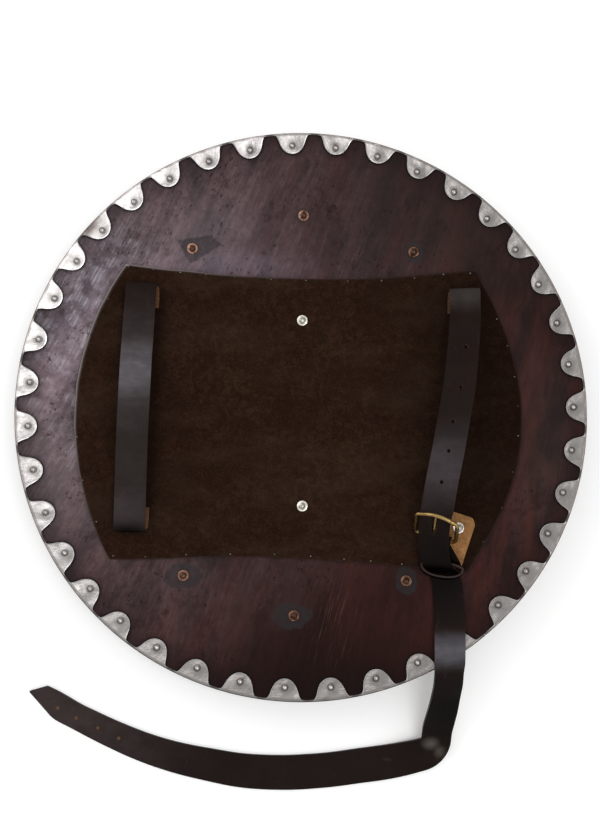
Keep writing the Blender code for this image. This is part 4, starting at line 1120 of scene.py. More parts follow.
def build_board():
    """Hollow back, rounded edge, domed front with its small flat spot."""
    inner = BOARD_RADIUS - BOARD_EDGE_INSET
    radii = [BOARD_PLAIN_RADIUS * step / BOARD_RINGS for step in range(BOARD_RINGS)]
    radii += [BOARD_PLAIN_RADIUS + (inner - BOARD_PLAIN_RADIUS) * step / BOARD_RINGS_UNDER_TABS
              for step in range(BOARD_RINGS_UNDER_TABS + 1)]
    profile = [(radius, back_height(radius)) for radius in radii]
    top, bottom = back_height(BOARD_RADIUS), front_height(BOARD_RADIUS)
    profile += [
        (BOARD_RADIUS - BOARD_EDGE_ROUND, top - BOARD_EDGE_ROUND),
        (BOARD_RADIUS, top - BOARD_EDGE_FALL), (BOARD_RADIUS, bottom + BOARD_EDGE_FALL),
        (BOARD_RADIUS - BOARD_EDGE_ROUND, bottom + BOARD_EDGE_ROUND),
    ]
    for step in range(FRONT_RINGS + 1):
        radius = inner - (inner - FLAT_RADIUS) * step / FRONT_RINGS
        profile.append((radius, front_height(radius)))
    bm = bmesh.new()
    add_turned(bm, profile + [(0.0, profile[-1][1])], BOARD_STEPS, Matrix())
    # painted shade and dirt on the wood close beside the tabs' outlines
    shade = bm.verts.layers.float.new("tab_shade")
    outlines = tab_outlines()
    for vert in bm.verts:
        radius = vert.co.xy.length
        if radius > BOARD_PLAIN_RADIUS and vert.co.z > back_height(radius) - 0.002:
            far = outlines.find((*vert.co.xy, 0.0))[2]
            vert[shade] = 0.75 * math.exp(-(far / 0.0013) ** 2) + 0.25 * math.exp(-far / 0.005)
    new_piece("dished_board", bm, ["wood"], ["board"], "wood")


def tab_angle(index):
    extra = SEAM_EXTRA if index >= SEAM_TAB else 0.0
    return FIRST_TAB + index * TAB_PITCH + extra


def tab_make(index):
    """One tab's clockwise angle, length and half width, as its cutter left them."""
    sizes = bpy.context.scene.shield_sizes
    angle = tab_angle(index)
    sidestep, longer = between(TAB_WANDER, math.degrees(angle))
    whim = ripple((index * 1.7, 0, 0), 1.0, 5.0)
    return (angle + sidestep / 1000 / SHIELD_RADIUS, sizes.tab_length + longer / 1000,
            sizes.tab_half_width + whim * 0.0004)


def tab_point(index, across, along):
    """Plan place on a tab: across from -1 to 1, along from its root to its tip."""
    angle, reach, half_width = tab_make(index)
    shoulder = reach * TAB_SHOULDER

    def half_at(inset):
        rounded = half_width * math.sqrt(max(0.0, 1 - (inset / reach) ** TAB_FULLNESS))
        return rounded + TAB_FLARE * math.exp(-inset / TAB_FLARE_LENGTH)

    end = min(1.0, abs(half_at(shoulder) * across) / half_width)
    tip = reach * (1 - end ** 2) ** (1 / TAB_FULLNESS)
    radius = SHIELD_RADIUS - NOTCH_LIP - (tip - NOTCH_LIP) * along
    half = half_at(NOTCH_LIP + (shoulder - NOTCH_LIP) * along) * across
    half += ripple((index * 2.3, 1, 0), 1.0, 9.0) * 0.0006 * along
    out, aside = Vector(polar(1.0, angle)), Vector(polar(1.0, angle + math.pi / 2))
    return out * math.sqrt(radius ** 2 - half ** 2) + aside * half


def tab_outlines():
    """A lookup of plan points all along the outlines of the tabs."""
    points = []
    for index in range(TABS):
        for step in range(OUTLINE_STEPS + 1):
            share = step / OUTLINE_STEPS
            points.append(tab_point(index, share * 2 - 1, 1.0))
            points += [tab_point(index, side, share) for side in (-1, 1)]
    tree = kdtree.KDTree(len(points))
    for order, point in enumerate(points):
        tree.insert((*point.xy, 0.0), order)
    tree.balance()
    return tree


def rim_rows():
    """The rim's section (radius, height) from the tabs' roots down to the front flange."""
    middle = TAB_GAP + RIM_THICKNESS / 2
    wall = SHIELD_RADIUS - RIM_THICKNESS / 2
    corner, foot = back_height(SHIELD_RADIUS, middle), front_height(SHIELD_RADIUS, middle)
    rows = [(SHIELD_RADIUS - NOTCH_LIP, back_height(SHIELD_RADIUS - NOTCH_LIP, middle))]
    rows += [(wall - FOLD_RADIUS + across, corner - FOLD_RADIUS + up)
             for across, up in quarter(FOLD_RADIUS, FOLD_RADIUS, 4)[1:]]
    rows += [(wall, (corner * 2 + foot) / 3), (wall, (corner + foot * 2) / 3)]
    rows += [(wall - FOLD_RADIUS + across, foot + FOLD_RADIUS - down)
             for down, across in quarter(FOLD_RADIUS, FOLD_RADIUS, 3)]
    for step in range(1, 4):
        radius = SHIELD_RADIUS - FLANGE_START - (FLANGE_WIDTH - FLANGE_START) * step / 3
        rows.append((radius, front_height(radius, middle)))
    return rows


def rim_columns():
    """Columns round the rim: (tab, place across it), or (tab, None) in the notch after it."""
    columns = [(SEAM_TAB, None)]
    for order in range(TABS):
        index = (SEAM_TAB + order) % TABS
        columns += [(index, 2 * step / TAB_COLUMNS - 1) for step in range(TAB_COLUMNS + 1)]
        if order < TABS - 1:
            columns += [(index, None)] * (NOTCH_COLUMNS - 1)
    return columns + [(SEAM_TAB - 1, None)]


def rim_angles(columns):
    """Clockwise angle of each column, even across the notches and rising from seam to seam."""
    angles = []
    for index, across in columns:
        plan = None if across is None else tab_point(index, across, 0.0)
        angles.append(plan and math.atan2(plan.x, plan.y))
    gap = SEAM_GAP / SHIELD_RADIUS
    seam = (tab_angle(SEAM_TAB) + tab_angle(SEAM_TAB - 1)) / 2
    angles[0] = seam + gap / 2
    angles[-1] = seam - gap / 2 + 2 * math.pi
    last = angles[0]
    for place, angle in enumerate(angles):
        if angle is not None:
            while angle < last - MERGE_DISTANCE:
                angle += 2 * math.pi
            angles[place] = last = angle
    for place, angle in enumerate(angles):
        if angle is None:
            start = place - 1
            end = next(at for at in range(place, len(angles)) if angles[at] is not None)
            angles[place] = angles[start] + (angles[end] - angles[start]) / (end - start)
    return angles


def build_rim():
    """The steel strip: tabs on the back, a rounded fold, the wall and a flange in front."""
    sizes = bpy.context.scene.shield_sizes
    middle = TAB_GAP + RIM_THICKNESS / 2
    rows, columns = rim_rows(), rim_columns()
    angles = rim_angles(columns)
    bm = bmesh.new()
    spans, levels = len(columns) - 1, TAB_ROWS + len(rows) - 1
    bmesh.ops.create_grid(bm, x_segments=spans, y_segments=levels, size=1.0)
    around = bm.verts.layers.float_vector.new("from_rivet")
    edge = bm.verts.layers.float.new("cut_edge")
    lip = bm.verts.layers.float.new("notch_lip")
    spare = []
    for face in bm.faces:
        centre = face.calc_center_median()
        column = int((centre.x + 1) / 2 * spans)
        level = int((1 - centre.y) / 2 * levels)
        on_tab = columns[column][1] is not None and columns[column + 1][1] is not None
        if level < TAB_ROWS and not on_tab:
            spare.append(face)
    for vert in bm.verts:
        vert[around] = NO_RIVET
        column = round((vert.co.x + 1) / 2 * spans)
        level = round((1 - vert.co.y) / 2 * levels)
        index, across = columns[column]
        if level < TAB_ROWS and across is not None:
            plan = tab_point(index, across, 1 - level / TAB_ROWS)
            vert.co = on_back(plan.x, plan.y, middle)
        elif level >= TAB_ROWS:
            radius, height = rows[level - TAB_ROWS]
            vert.co = (*polar(radius, angles[column]), height)
            if across is None and level < TAB_ROWS + len(LIP_SHADE_SHARES):
                vert[lip] = LIP_SHADE_SHARES[level - TAB_ROWS]
        if level <= TAB_ROWS + 1 and across is not None:
            offset = vert.co.xy - Vector(rim_rivet_place(index))
            vert.co.z -= DIMPLE_DEPTH * math.exp(-(offset.length / DIMPLE_REACH) ** 2)
            vert.co.z += HAMMER_DEPTH * ripple(vert.co, HAMMER_SIZE)
            vert[around] = (*(offset / sizes.rim_rivet), 0.0)
        if level == 0 or (level <= TAB_ROWS and (across is None or abs(across) > 0.999)):
            vert[edge] = 1.0
    bmesh.ops.delete(bm, geom=spare, context="FACES")
    bmesh.ops.recalc_face_normals(bm, faces=bm.faces)
    on_top = [face for face in bm.faces if face.calc_center_median().z > rows[1][1] - 0.003]
    if sum(face.normal.z for face in on_top) < 0:
        bmesh.ops.reverse_faces(bm, faces=bm.faces)
    made = new_piece("scalloped_rim", bm, ["steel"], ["rim"], "rim_steel", None)
    add_wall(made, RIM_THICKNESS, True, 0, 0)
    add_rounding(made, RIM_EDGE_ROUND)


def rim_rivet_place(index):
    """Plan place of a tab's rivet."""
    inset = bpy.context.scene.shield_sizes.rim_rivet_inset
    inset += 0.0006 * ripple((index * 3.1, 0, 0), 1.0, 2.0)
    return polar(SHIELD_RADIUS - inset, tab_make(index)[0])


def build_rim_rivets():
    """One small domed head on every tab."""
    size = bpy.context.scene.shield_sizes.rim_rivet
    lift = TAB_GAP + RIM_THICKNESS - 0.0003
    bm = bmesh.new()
    for index in range(TABS):
        radius = size * (1 + 0.06 * ripple((index * 1.3, 4, 0), 1.0, 7.0))
        profile = dome(radius, 0.0016, 6) + [(radius, -0.0002), (0.0, -0.0002)]
        add_turned(bm, profile, 18, stand_on_back(*rim_rivet_place(index), lift))
    nodes = [f"rim_rivet_{index + 1:02d}" for index in range(TABS)]
    new_piece("rim_rivet_heads", bm, ["stud"], nodes, "rim_steel")


# ---------------------------------------------------------------- pad and tacks

def pad_edge(side, t):
    """A point along one edge of the pad: a cubic curve drawn towards its two pulls."""
    start, finish_at = (Vector(PAD_CORNERS[name]) for name in PAD_ENDS[side])
    near, far = (Vector(pull) for pull in PAD_PULLS[side])
    return (start * (1 - t) ** 3 + near * 3 * t * (1 - t) ** 2 + far * 3 * t ** 2 * (1 - t)
            + finish_at * t ** 3)


def pad_point(u, v):
    """A point of the pad's plan: u from left to right, v from bottom to top."""
    corner = {name: Vector(place) for name, place in PAD_CORNERS.items()}
    low = corner["bottom_left"] * (1 - u) + corner["bottom_right"] * u
    high = corner["top_left"] * (1 - u) + corner["top_right"] * u
    return (pad_edge("bottom", u) * (1 - v) + pad_edge("top", u) * v
            + pad_edge("left", v) * (1 - u) + pad_edge("right", v) * u
            - low * (1 - v) - high * v)


def tack_places():
    places = []
    for side, run in TACKS.items():
        for t, inset in run:
            edge = pad_edge(side, t)
            inward = -edge if side in ("left", "right") else Vector((0, -edge.y))
            places.append(edge + inward.normalized() * (inset / 1000))
    return places


def arm_strap_shade(plan):
    """Painted shadow on the pad beside the arm strap, mostly on its inner side."""
    offset = plan - Vector(ARM_STRAP_MIDDLE)
    beside = ARM_STRAP_RUN.y * offset.x - ARM_STRAP_RUN.x * offset.y
    past = max(0.0, abs(offset.dot(ARM_STRAP_RUN)) - 0.118)
    reach = max(0.0, abs(beside) - ARM_STRAP_WIDTH / 2) / (0.0075 if beside >= 0 else 0.0035)
    return 0.60 * math.exp(-reach ** 2 - (past / 0.006) ** 2)


def build_pad():
    """The leather lining laid in the dish, drawn down at every tack."""
    tacks = tack_places()
    bm = bmesh.new()
    bmesh.ops.create_grid(bm, x_segments=PAD_COLUMNS, y_segments=PAD_ROWS, size=1.0)
    cut = bm.verts.layers.float.new("cut_edge")
    shade = bm.verts.layers.float.new("strap_shade")
    for vert in bm.verts:
        u, v = (vert.co.x + 1) / 2, (vert.co.y + 1) / 2
        vert[cut] = float(vert.is_boundary)
        plan = pad_point(u, v)
        rim = min(u, 1 - u, v, 1 - v)
        plan += Vector((ripple((*plan, 0), 0.02, 3.0), ripple((*plan, 0), 0.02, 8.0))) * 0.0006
        swell = 0.00030 * ripple((*plan, 0), 0.045) + 0.00012 * ripple((*plan, 0), 0.014, 4.0)
        if rim < PAD_BORDER:
            near = min((plan - tack).length for tack in tacks)
            swell += 0.00045 * (1 - math.exp(-(near / 0.007) ** 2)) * (1 - rim / PAD_BORDER)
            swell -= 0.00015
        vert.co = on_back(plan.x, plan.y, PAD_GAP + PAD_THICKNESS / 2 + swell)
        vert[shade] = arm_strap_shade(plan)
    bmesh.ops.recalc_face_normals(bm, faces=bm.faces)
    made = new_piece("leather_pad", bm, ["suede", "suede_edge"], ["pad"], "pad_suede", None)
    add_wall(made, PAD_THICKNESS, False, 0, 1)
    add_rounding(made, PAD_EDGE_ROUND)


def build_tacks():
    """Small domed tack heads along the pad's edges."""
    size = bpy.context.scene.shield_sizes.tack
    lift = PAD_GAP + PAD_THICKNESS - 0.0001
    bm = bmesh.new()
    for order, place in enumerate(tack_places()):
        radius = size * (1 + 0.15 * ripple((order * 1.9, 0, 0), 1.0, 6.0))
        profile = dome(radius, 0.0007, 4) + [(radius, -0.0003), (0.0, -0.0003)]
        add_turned(bm, profile, 10, stand_on_back(place.x, place.y, lift))
    new_piece("pad_tacks", bm, ["tack"], [], "rim_steel")


# ---------------------------------------------------------------- rivets

def washer_rivet(bm, place, lift):
    """A rivet through the board with a washer under its hammered end."""
    sizes = bpy.context.scene.shield_sizes
    head, washer = sizes.rivet_head, sizes.washer
    top = lift + WASHER_THICKNESS
    profile = [
        (0.0, top + 0.0013), (head * 0.45, top + 0.00125), (head * 0.78, top + 0.0009),
        (head * 0.97, top + 0.00045), (head, top - 0.0001), (head + 0.0004, top - 0.0004),
        (head + 0.0010, top - 0.0003), (washer - 0.0014, top), (washer - 0.0007, top + 0.00015),
        (washer - 0.0002, top - 0.00005), (washer, top - 0.0004), (washer, lift + 0.0002),
        (washer - 0.0002, lift), (SHANK_RADIUS, lift), *FRONT_HEAD,
    ]
    placed = stand_on_back(*place, 0.0)
    fresh = add_turned(bm, profile, 32, placed)
    for face in {face for vert in fresh for face in vert.link_faces}:
        middle = placed.inverted() @ face.calc_center_median()
        if middle.xy.length < head + 0.0005 and middle.z > lift:
            face.material_index = 1
    for vert in fresh:
        vert.co += Vector([ripple(vert.co, 0.0025, seed) for seed in (1.0, 2.0, 3.0)]) * 0.00016


def build_washer_rivets():
    """Six copper rivets in a ring, two plated ones on the pad, one on the buckle tab."""
    for name, kind, slot, places, lift, nodes in (
        ("ring_rivet_heads", "copper", "old_copper", RING_RIVETS, FACET_GAP - 0.0004,
         [f"ring_rivet_{index + 1}" for index in range(len(RING_RIVETS))]),
        ("centre_rivet_heads", "nickel", "bright_nickel", CENTRE_RIVETS,
         PAD_GAP + PAD_THICKNESS + 0.0003, ["centre_rivet_1", "centre_rivet_2"]),
        ("tab_rivet_head", "nickel", "bright_nickel", (TAB_RIVET,),
         TAB_ROUTE[0][2] + TAB_LEATHER / 2 + 0.0001, ["tab_rivet"]),
    ):
        bm = bmesh.new()
        for place in places:
            washer_rivet(bm, place, lift)
        new_piece(name, bm, [kind, kind + "_core"], nodes, slot)


def build_strap_rivets():
    """Low rivets that hold the folded ends of the straps."""
    lift = ARM_STRAP_HALF[0][2] + STRAP_THICKNESS / 2 + REST_GAP
    profile = dome(FRONT_HEAD_RADIUS, 0.0013, 5, lift) + [(SHANK_RADIUS, lift), *FRONT_HEAD]
    places = [Vector(ARM_STRAP_MIDDLE) + ARM_STRAP_RUN * ARM_STRAP_RIVET * side
              for side in (1, -1)]
    bm = bmesh.new()
    for place in (*places, LONG_STRAP_RIVET):
        add_turned(bm, profile, 24, stand_on_back(*place, 0.0))
    nodes = ["strap_rivet_1", "strap_rivet_2", "strap_rivet_3"]
    new_piece("strap_rivet_heads", bm, ["copper"], nodes, "old_copper")


# ---------------------------------------------------------------- straps

def smooth_route(stops, steps):
    """Catmull-Rom curve through tuples of any length, with steps points a span."""
    route = []
    last = len(stops) - 1
    for index in range(last):
        corners = [stops[min(max(index + offset, 0), last)] for offset in (-1, 0, 1, 2)]
        for step in range(steps):
            t = step / steps
            weights = (
                (-t + 2 * t ** 2 - t ** 3) / 2, (2 - 5 * t ** 2 + 3 * t ** 3) / 2,
                (t + 4 * t ** 2 - 3 * t ** 3) / 2, (-t ** 2 + t ** 3) / 2,
            )
            route.append(tuple(sum(weight * value for weight, value in zip(weights, values))
                               for values in zip(*corners)))
    return route + [stops[-1]]


def back_stop(x, y, lift, turn, roll, width):
    """A stop on the hollow back, given as a free one: its roll follows the dish."""
    point = on_back(x, y, lift)
    heading = math.radians(turn)
    slope = (x * math.cos(heading) + y * math.sin(heading)) / (CENTRE_HEIGHT - point.z)
    return x, y, point.z, turn, roll - math.degrees(math.atan(slope)), width


def station(x, y, z, turn, roll, width):
    """Centre of a strap and the vector across it; roll lowers its right edge."""
    heading, bank = math.radians(turn), math.radians(roll)
    level = math.cos(bank)
    across = Vector((math.cos(heading) * level, math.sin(heading) * level, -math.sin(bank)))
    return Vector((x, y, z)), across * width


def strap_grid(stations, columns):
    """A grid with a row at each station: its bmesh, and (vertex, row, side) for each vertex."""
    bm = bmesh.new()
    spans = len(stations) - 1
    bmesh.ops.create_grid(bm, x_segments=columns, y_segments=spans, size=1.0)
    return bm, [(vert, round((1 - vert.co.y) / 2 * spans), vert.co.x) for vert in bm.verts]


def strap_piece(name, stations, finishes, nodes):
    """A strap laid on its stations: a little crowned, wavering and walled."""
    last = len(stations) - 1
    bm, places = strap_grid(stations, STRAP_COLUMNS)
    for vert, row, side in places:
        centre, across = stations[row]
        ahead = stations[min(row + 1, last)][0] - stations[max(row - 1, 0)][0]
        vert.co = centre + across * (side / 2)
        vert.co += across.cross(ahead).normalized() * (STRAP_CROWN * (side * side - 0.33))
        vert.co += across.normalized() * (STRAP_WAVER * ripple((*centre,), 0.03, side))
    made = new_piece(name, bm, finishes, nodes, "strap_leather", None)
    add_wall(made, STRAP_THICKNESS)
    return made


def dress_edges(made, width):
    add_rounding(made, width, 3, 55)
    settle(made)
    made.data.shade_smooth()
    made.data.set_sharp_from_angle(angle=math.radians(50))


def punch(made, cuts):
    """Cuts upright round holes: (x, y), radius, stretch and turn for each."""
    bm = bmesh.new()
    for place, radius, stretch, turn in cuts:
        # where the strap lies on the floor, its holes stop short of its underside, the leather left
        # there standing in for the shade inside them
        bottom = HOLE_SHADE_SKIN if place[1] < -SHIELD_RADIUS else PUNCH_BOTTOM
        placed = (Matrix.Translation((*place, (bottom + PUNCH_TOP) / 2))
                  @ Matrix.Rotation(turn, 4, "Z") @ Matrix.Diagonal((1, stretch, 1, 1)))
        bmesh.ops.create_cone(bm, cap_ends=True, segments=20, radius1=radius, radius2=radius,
                              depth=PUNCH_TOP - bottom, matrix=placed)
    cut_out(made, "punches", bm, "hole")


def build_arm_strap():
    """The left strap: both ends folded under it, its middle arched for the forearm."""
    stops = []
    for side, half in ((1, ARM_STRAP_HALF), (-1, reversed(ARM_STRAP_HALF))):
        for distance, slip, lift in half:
            place = (Vector(ARM_STRAP_MIDDLE) + ARM_STRAP_RUN * distance * side
                     + ARM_STRAP_ASIDE * slip)
            stops.append(back_stop(*place, lift, math.degrees(ARM_STRAP_TURN), 0,
                                   ARM_STRAP_WIDTH))
    stations = [station(*stop) for stop in smooth_route(stops, STRAP_STEPS)]
    made = strap_piece("arm_strap_leather", stations, ["leather", "flesh", "strap_edge"],
                       ["arm_strap"])
    dress_edges(made, bpy.context.scene.shield_sizes.strap_round)


def build_long_strap():
    """The right strap: folded end, holes, buckle end, and its long tail over the rim."""
    sizes = bpy.context.scene.shield_sizes
    stops = [back_stop(*stop) for stop in LONG_STRAP_BACK]
    route = smooth_route([*stops, *LONG_STRAP_FREE, STRAP_POINT[0]], STRAP_STEPS)
    for step in range(1, 5):
        route.append(tuple(a + (b - a) * step / 4 for a, b in zip(*STRAP_POINT)))
    stations = [station(*stop) for stop in route]
    made = strap_piece("long_strap_leather", stations,
                       ["leather", "flesh", "strap_edge", "hole"], ["long_strap"])
    cuts = [(place, sizes.punch, 1.0, 0.0) for place in PUNCHED_HOLES]
    cuts.append((PRONG_SLOT_AT, PRONG_SLOT_RADIUS, PRONG_SLOT_STRETCH, BUCKLE_TURN / 2))
    punch(made, cuts)
    dress_edges(made, sizes.strap_round)


# ---------------------------------------------------------------- buckle and keeper

def leaning(place, lift, turn, slope, raised):
    """A frame over the hollow back, turned about Z, then sloped, then raised about X."""
    return (Matrix.Translation(on_back(*place, lift)) @ Matrix.Rotation(turn, 4, "Z")
            @ Matrix.Rotation(-slope, 4, "Y") @ Matrix.Rotation(raised, 4, "X"))


def buckle_frame():
    """Frame of the buckle: X along its hinge bar, Y out to its outer bar."""
    return leaning(BUCKLE_AT, BUCKLE_LIFT, BUCKLE_TURN, BUCKLE_SLOPE, BUCKLE_RAISE)


def build_buckle_tab():
    """The short tab: flesh side up, folded back over itself and round the hinge bar."""
    stations = [station(*back_stop(*stop)) for stop in smooth_route(TAB_ROUTE, 5)]
    placed = buckle_frame()
    along = placed.col[0].xyz.normalized()
    loop_radius = WIRE_RADIUS + REST_GAP + TAB_LEATHER / 2
    middle = placed.translation + along * TAB_HINGE_OFFSET
    ahead = Vector((-along.y, along.x, 0.0)).normalized()
    above = along.cross(ahead)
    for angle in map(math.radians, TAB_LOOP_ANGLES):
        reach = ahead * math.sin(angle) + above * math.cos(angle)
        stations.append((middle + reach * loop_radius, along * TAB_HINGE_WIDTH))
    bm, places = strap_grid(stations, 14)
    far = stations[1][0] - stations[0][0]
    for vert, row, side in places:
        centre, across = stations[row]
        vert.co = centre + across * (side / 2)
        if row < TAB_TRIM_ROWS:
            # the free end's corners are trimmed round
            share = 1 - row / TAB_TRIM_ROWS
            vert.co += far * (TAB_TRIM * share * max(0.0, abs(side) - TAB_TRIM_START) ** 2)
    made = new_piece("buckle_tab_leather", bm, ["raw", "leather", "raw_edge"], ["buckle_tab"],
                     "raw_leather", None)
    add_wall(made, TAB_LEATHER)
    bm = bmesh.new()
    bmesh.ops.create_cube(bm, size=1.0)
    bmesh.ops.scale(bm, vec=TAB_SLOT, verts=bm.verts)
    bmesh.ops.translate(bm, vec=(PRONG_OFFSET, 0.0, 0.0), verts=bm.verts)
    bm.transform(placed)
    cut_out(made, "slot", bm, "raw_edge")
    dress_edges(made, TAB_EDGE_ROUND)


def wire_piece(name, points, radius, closed, nodes):
    """A round brass wire along points in the buckle's frame, made a mesh."""
    curve = bpy.data.curves.new(name + "_route", "CURVE")
    curve.dimensions = "3D"
    curve.bevel_depth = radius
    curve.bevel_resolution = 5
    curve.use_fill_caps = not closed
    line = curve.splines.new("POLY")
    line.points.add(len(points) - 1)
    for point, place in zip(line.points, points):
        point.co = (*place, 1.0)
    line.use_cyclic_u = closed
    guide = bpy.data.objects.new(name + "_route", curve)
    bpy.context.scene.collection.objects.link(guide)
    mesh = evaluated_mesh(guide)
    bpy.data.objects.remove(guide)
    bm = bmesh.new()
    bm.from_mesh(mesh)
    bpy.data.meshes.remove(mesh)
    bmesh.ops.remove_doubles(bm, verts=bm.verts, dist=WIRE_MERGE)
    bmesh.ops.recalc_face_normals(bm, faces=bm.faces)
    bm.transform(buckle_frame())
    for face in bm.faces:
        face.material_index = 0
    new_piece(name, bm, ["brass"], nodes, "old_brass")


def build_buckle():
    """The bent wire frame and the prong on its hinge bar."""
    half, corner = BUCKLE_WIDTH / 2 - BUCKLE_CORNER, BUCKLE_CORNER
    points = []
    for x, y, start in ((half, corner, -90), (half, BUCKLE_DEPTH - corner, 0),
                        (-half, BUCKLE_DEPTH - corner, 90), (-half, corner, 180)):
        for step in range(CORNER_STEPS + 1):
            angle = math.radians(start + 90 * step / CORNER_STEPS)
            points.append((x + corner * math.cos(angle), y + corner * math.sin(angle), 0.0))
        if start == 0:
            for step in range(1, BOW_STEPS):
                t = 1 - 2 * step / BOW_STEPS
                points.append((half * t, BUCKLE_DEPTH + BUCKLE_BOW * (1 - t * t), 0.0))
    wire_piece("buckle_frame_brass", points, WIRE_RADIUS, True, ["buckle_frame"])
    eye = WIRE_RADIUS + REST_GAP + PRONG_RADIUS
    points = []
    for step in range(PRONG_LOOP_STEPS + 1):
        angle = math.radians(PRONG_LOOP_START + PRONG_LOOP_SWEEP * step / PRONG_LOOP_STEPS)
        points.append((PRONG_OFFSET, eye * math.cos(angle), -eye * math.sin(angle)))
    tongue = smooth_route([points[-1], *((PRONG_OFFSET, *stop) for stop in PRONG_TONGUE)], 5)
    wire_piece("buckle_prong_brass", points + tongue[1:], PRONG_RADIUS, False, ["buckle_prong"])


def build_keeper():
    """A squared oval ring of leather standing round the strap."""
    bm = bmesh.new()
    bmesh.ops.create_circle(bm, segments=72, radius=1.0)
    for vert in bm.verts:
        depth = KEEPER_DEPTH_ABOVE if vert.co.y > 0 else KEEPER_DEPTH_BELOW
        x, y = (math.copysign(abs(part) ** KEEPER_SQUARENESS, part) for part in vert.co.xy)
        vert.co = (x * KEEPER_HALF_LENGTH, y * depth, -KEEPER_BAND / 2)
    edges = bm.edges[:]
    for _ in range(KEEPER_STEPS):
        grown = bmesh.ops.extrude_edge_only(bm, edges=edges)["geom"]
        edges = [item for item in grown if isinstance(item, bmesh.types.BMEdge)]
        verts = [item for item in grown if isinstance(item, bmesh.types.BMVert)]
        bmesh.ops.translate(bm, vec=(0, 0, KEEPER_BAND / KEEPER_STEPS), verts=verts)
    bmesh.ops.recalc_face_normals(bm, faces=bm.faces)
    bm.transform(leaning(KEEPER_AT, KEEPER_LIFT, KEEPER_TURN, KEEPER_SLOPE, -KEEPER_TILT))
    made = new_piece("keeper_leather", bm, ["leather", "flesh", "strap_edge"], ["keeper"],
                     "strap_leather", None)
    add_wall(made, KEEPER_THICKNESS)
    dress_edges(made, KEEPER_EDGE_ROUND)


# ---------------------------------------------------------------- stage

def soft_light(name, place, width, height, power):
    """A rectangle of light that faces the middle of the shield."""
    light = bpy.data.lights.new(name, "AREA")
    light.shape = "RECTANGLE"
    light.size = width
    light.size_y = height
    light.energy = power
    made = bpy.data.objects.new(name, light)
    made.location = place
    made.rotation_euler = (-Vector(place)).to_track_quat("-Z", "Y").to_euler()
    bpy.context.scene.collection.objects.link(made)


def build_stage():
    """Plain pale floor, soft lights and the camera over the shield."""
    scene = bpy.context.scene
    settings = scene.shield_stage
    bm = bmesh.new()
    bmesh.ops.create_grid(bm, x_segments=1, y_segments=1, size=FLOOR_REACH)
    floor = link_mesh("floor", bm, ["floor"])

    world = bpy.data.worlds.new("studio")
    world.use_nodes = True
    background = world.node_tree.nodes["Background"]
    background.inputs["Color"].default_value = (1.0, 1.0, 1.0, 1.0)
    background.inputs["Strength"].default_value = settings.sky
    scene.world = world
    soft_light("key", (-2.0, 1.3, 1.9), 1.6, 1.6, settings.key)
    soft_light("fill", (0.66, -0.16, 2.8), 1.00, 1.30, settings.fill)

    lens = bpy.data.cameras.new("camera")
    lens.lens = CAMERA_LENS
    lens.sensor_fit = "AUTO"
    lens.sensor_width = 36.0
    camera = bpy.data.objects.new("camera", lens)
    camera.matrix_world = (
        Matrix.Translation(CAMERA_PLACE) @ Matrix.Rotation(CAMERA_TILT, 4, "X")
        @ Matrix.Rotation(CAMERA_ROLL, 4, "Y")
    )
    scene.collection.objects.link(camera)
    scene.camera = camera
    scene.view_settings.view_transform = "Standard"


# ---------------------------------------------------------------- operators

class SHIELD_OT_board(bpy.types.Operator):
    """Builds the dished wooden board"""

    bl_idname = "shield.board"
    bl_label = "Board"

    def execute(self, context):
        build_board()
        return {"FINISHED"}


class SHIELD_OT_rim(bpy.types.Operator):
    """Builds the scalloped steel rim"""

    bl_idname = "shield.rim"
    bl_label = "Rim"

    def execute(self, context):
        build_rim()
        return {"FINISHED"}


class SHIELD_OT_rim_rivets(bpy.types.Operator):
    """Builds the small rivets on the rim's tabs"""

    bl_idname = "shield.rim_rivets"
    bl_label = "Rim rivets"

    def execute(self, context):
        build_rim_rivets()
        return {"FINISHED"}


class SHIELD_OT_pad(bpy.types.Operator):
    """Builds the leather pad in the dish"""

    bl_idname = "shield.pad"
    bl_label = "Pad"

    def execute(self, context):
        build_pad()
        return {"FINISHED"}


class SHIELD_OT_tacks(bpy.types.Operator):
    """Builds the tacks round the pad"""

    bl_idname = "shield.tacks"
    bl_label = "Tacks"

    def execute(self, context):
        build_tacks()
        return {"FINISHED"}


class SHIELD_OT_washer_rivets(bpy.types.Operator):
    """Builds the rivets that have washers on the back"""

    bl_idname = "shield.washer_rivets"
    bl_label = "Washer rivets"

    def execute(self, context):
        build_washer_rivets()
        return {"FINISHED"}


class SHIELD_OT_strap_rivets(bpy.types.Operator):
    """Builds the rivets that hold the straps' folded ends"""

    bl_idname = "shield.strap_rivets"
    bl_label = "Strap rivets"

    def execute(self, context):
        build_strap_rivets()
        return {"FINISHED"}


class SHIELD_OT_arm_strap(bpy.types.Operator):
    """Builds the arched arm strap"""

    bl_idname = "shield.arm_strap"
    bl_label = "Arm strap"

    def execute(self, context):
        build_arm_strap()
        return {"FINISHED"}


class SHIELD_OT_long_strap(bpy.types.Operator):
    """Builds the buckled strap and its long tail"""

    bl_idname = "shield.long_strap"
    bl_label = "Long strap"

    def execute(self, context):
        build_long_strap()
        return {"FINISHED"}


class SHIELD_OT_buckle_tab(bpy.types.Operator):
    """Builds the short tab that holds the buckle"""

    bl_idname = "shield.buckle_tab"
    bl_label = "Buckle tab"

    def execute(self, context):
        build_buckle_tab()
        return {"FINISHED"}


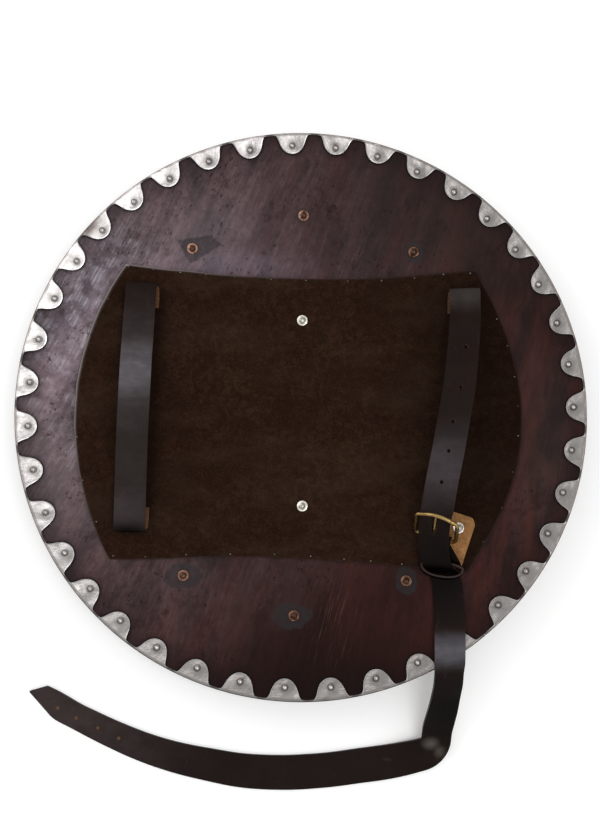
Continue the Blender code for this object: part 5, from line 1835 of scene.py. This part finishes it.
class SHIELD_OT_buckle(bpy.types.Operator):
    """Builds the buckle's frame and prong"""

    bl_idname = "shield.buckle"
    bl_label = "Buckle"

    def execute(self, context):
        build_buckle()
        return {"FINISHED"}


class SHIELD_OT_keeper(bpy.types.Operator):
    """Builds the leather keeper round the strap"""

    bl_idname = "shield.keeper"
    bl_label = "Keeper"

    def execute(self, context):
        build_keeper()
        return {"FINISHED"}


class SHIELD_OT_stage(bpy.types.Operator):
    """Builds the floor, the lights and the camera"""

    bl_idname = "shield.stage"
    bl_label = "Stage"

    def execute(self, context):
        build_stage()
        return {"FINISHED"}


OPERATORS = (
    SHIELD_OT_board, SHIELD_OT_rim, SHIELD_OT_rim_rivets, SHIELD_OT_pad, SHIELD_OT_tacks,
    SHIELD_OT_washer_rivets, SHIELD_OT_strap_rivets, SHIELD_OT_arm_strap, SHIELD_OT_long_strap,
    SHIELD_OT_buckle_tab, SHIELD_OT_buckle, SHIELD_OT_keeper, SHIELD_OT_stage,
)


class SHIELD_PT_sidebar(bpy.types.Panel):
    """Lists the shield's settings and builders"""

    bl_label = "Round Shield"
    bl_idname = "SHIELD_PT_sidebar"
    bl_space_type = "VIEW_3D"
    bl_region_type = "UI"
    bl_category = "Shield"

    def draw(self, context):
        scene = context.scene
        for settings in (scene.shield_sizes, scene.shield_colours, scene.shield_stage):
            box = self.layout.box()
            for name in settings.__annotations__:
                box.prop(settings, name)
        for operator in OPERATORS:
            self.layout.operator(operator.bl_idname)


CLASSES = (ShieldSizes, ShieldColours, ShieldStage, *OPERATORS, SHIELD_PT_sidebar)


def register():
    for each in CLASSES:
        bpy.utils.register_class(each)
    bpy.types.Scene.shield_sizes = PointerProperty(type=ShieldSizes)
    bpy.types.Scene.shield_colours = PointerProperty(type=ShieldColours)
    bpy.types.Scene.shield_stage = PointerProperty(type=ShieldStage)


def unregister():
    del bpy.types.Scene.shield_stage
    del bpy.types.Scene.shield_colours
    del bpy.types.Scene.shield_sizes
    for each in reversed(CLASSES):
        bpy.utils.unregister_class(each)


def main():
    register()
    for operator in OPERATORS:
        getattr(bpy.ops.shield, operator.bl_idname.split(".")[1])()


if __name__ == "__main__":
    main()
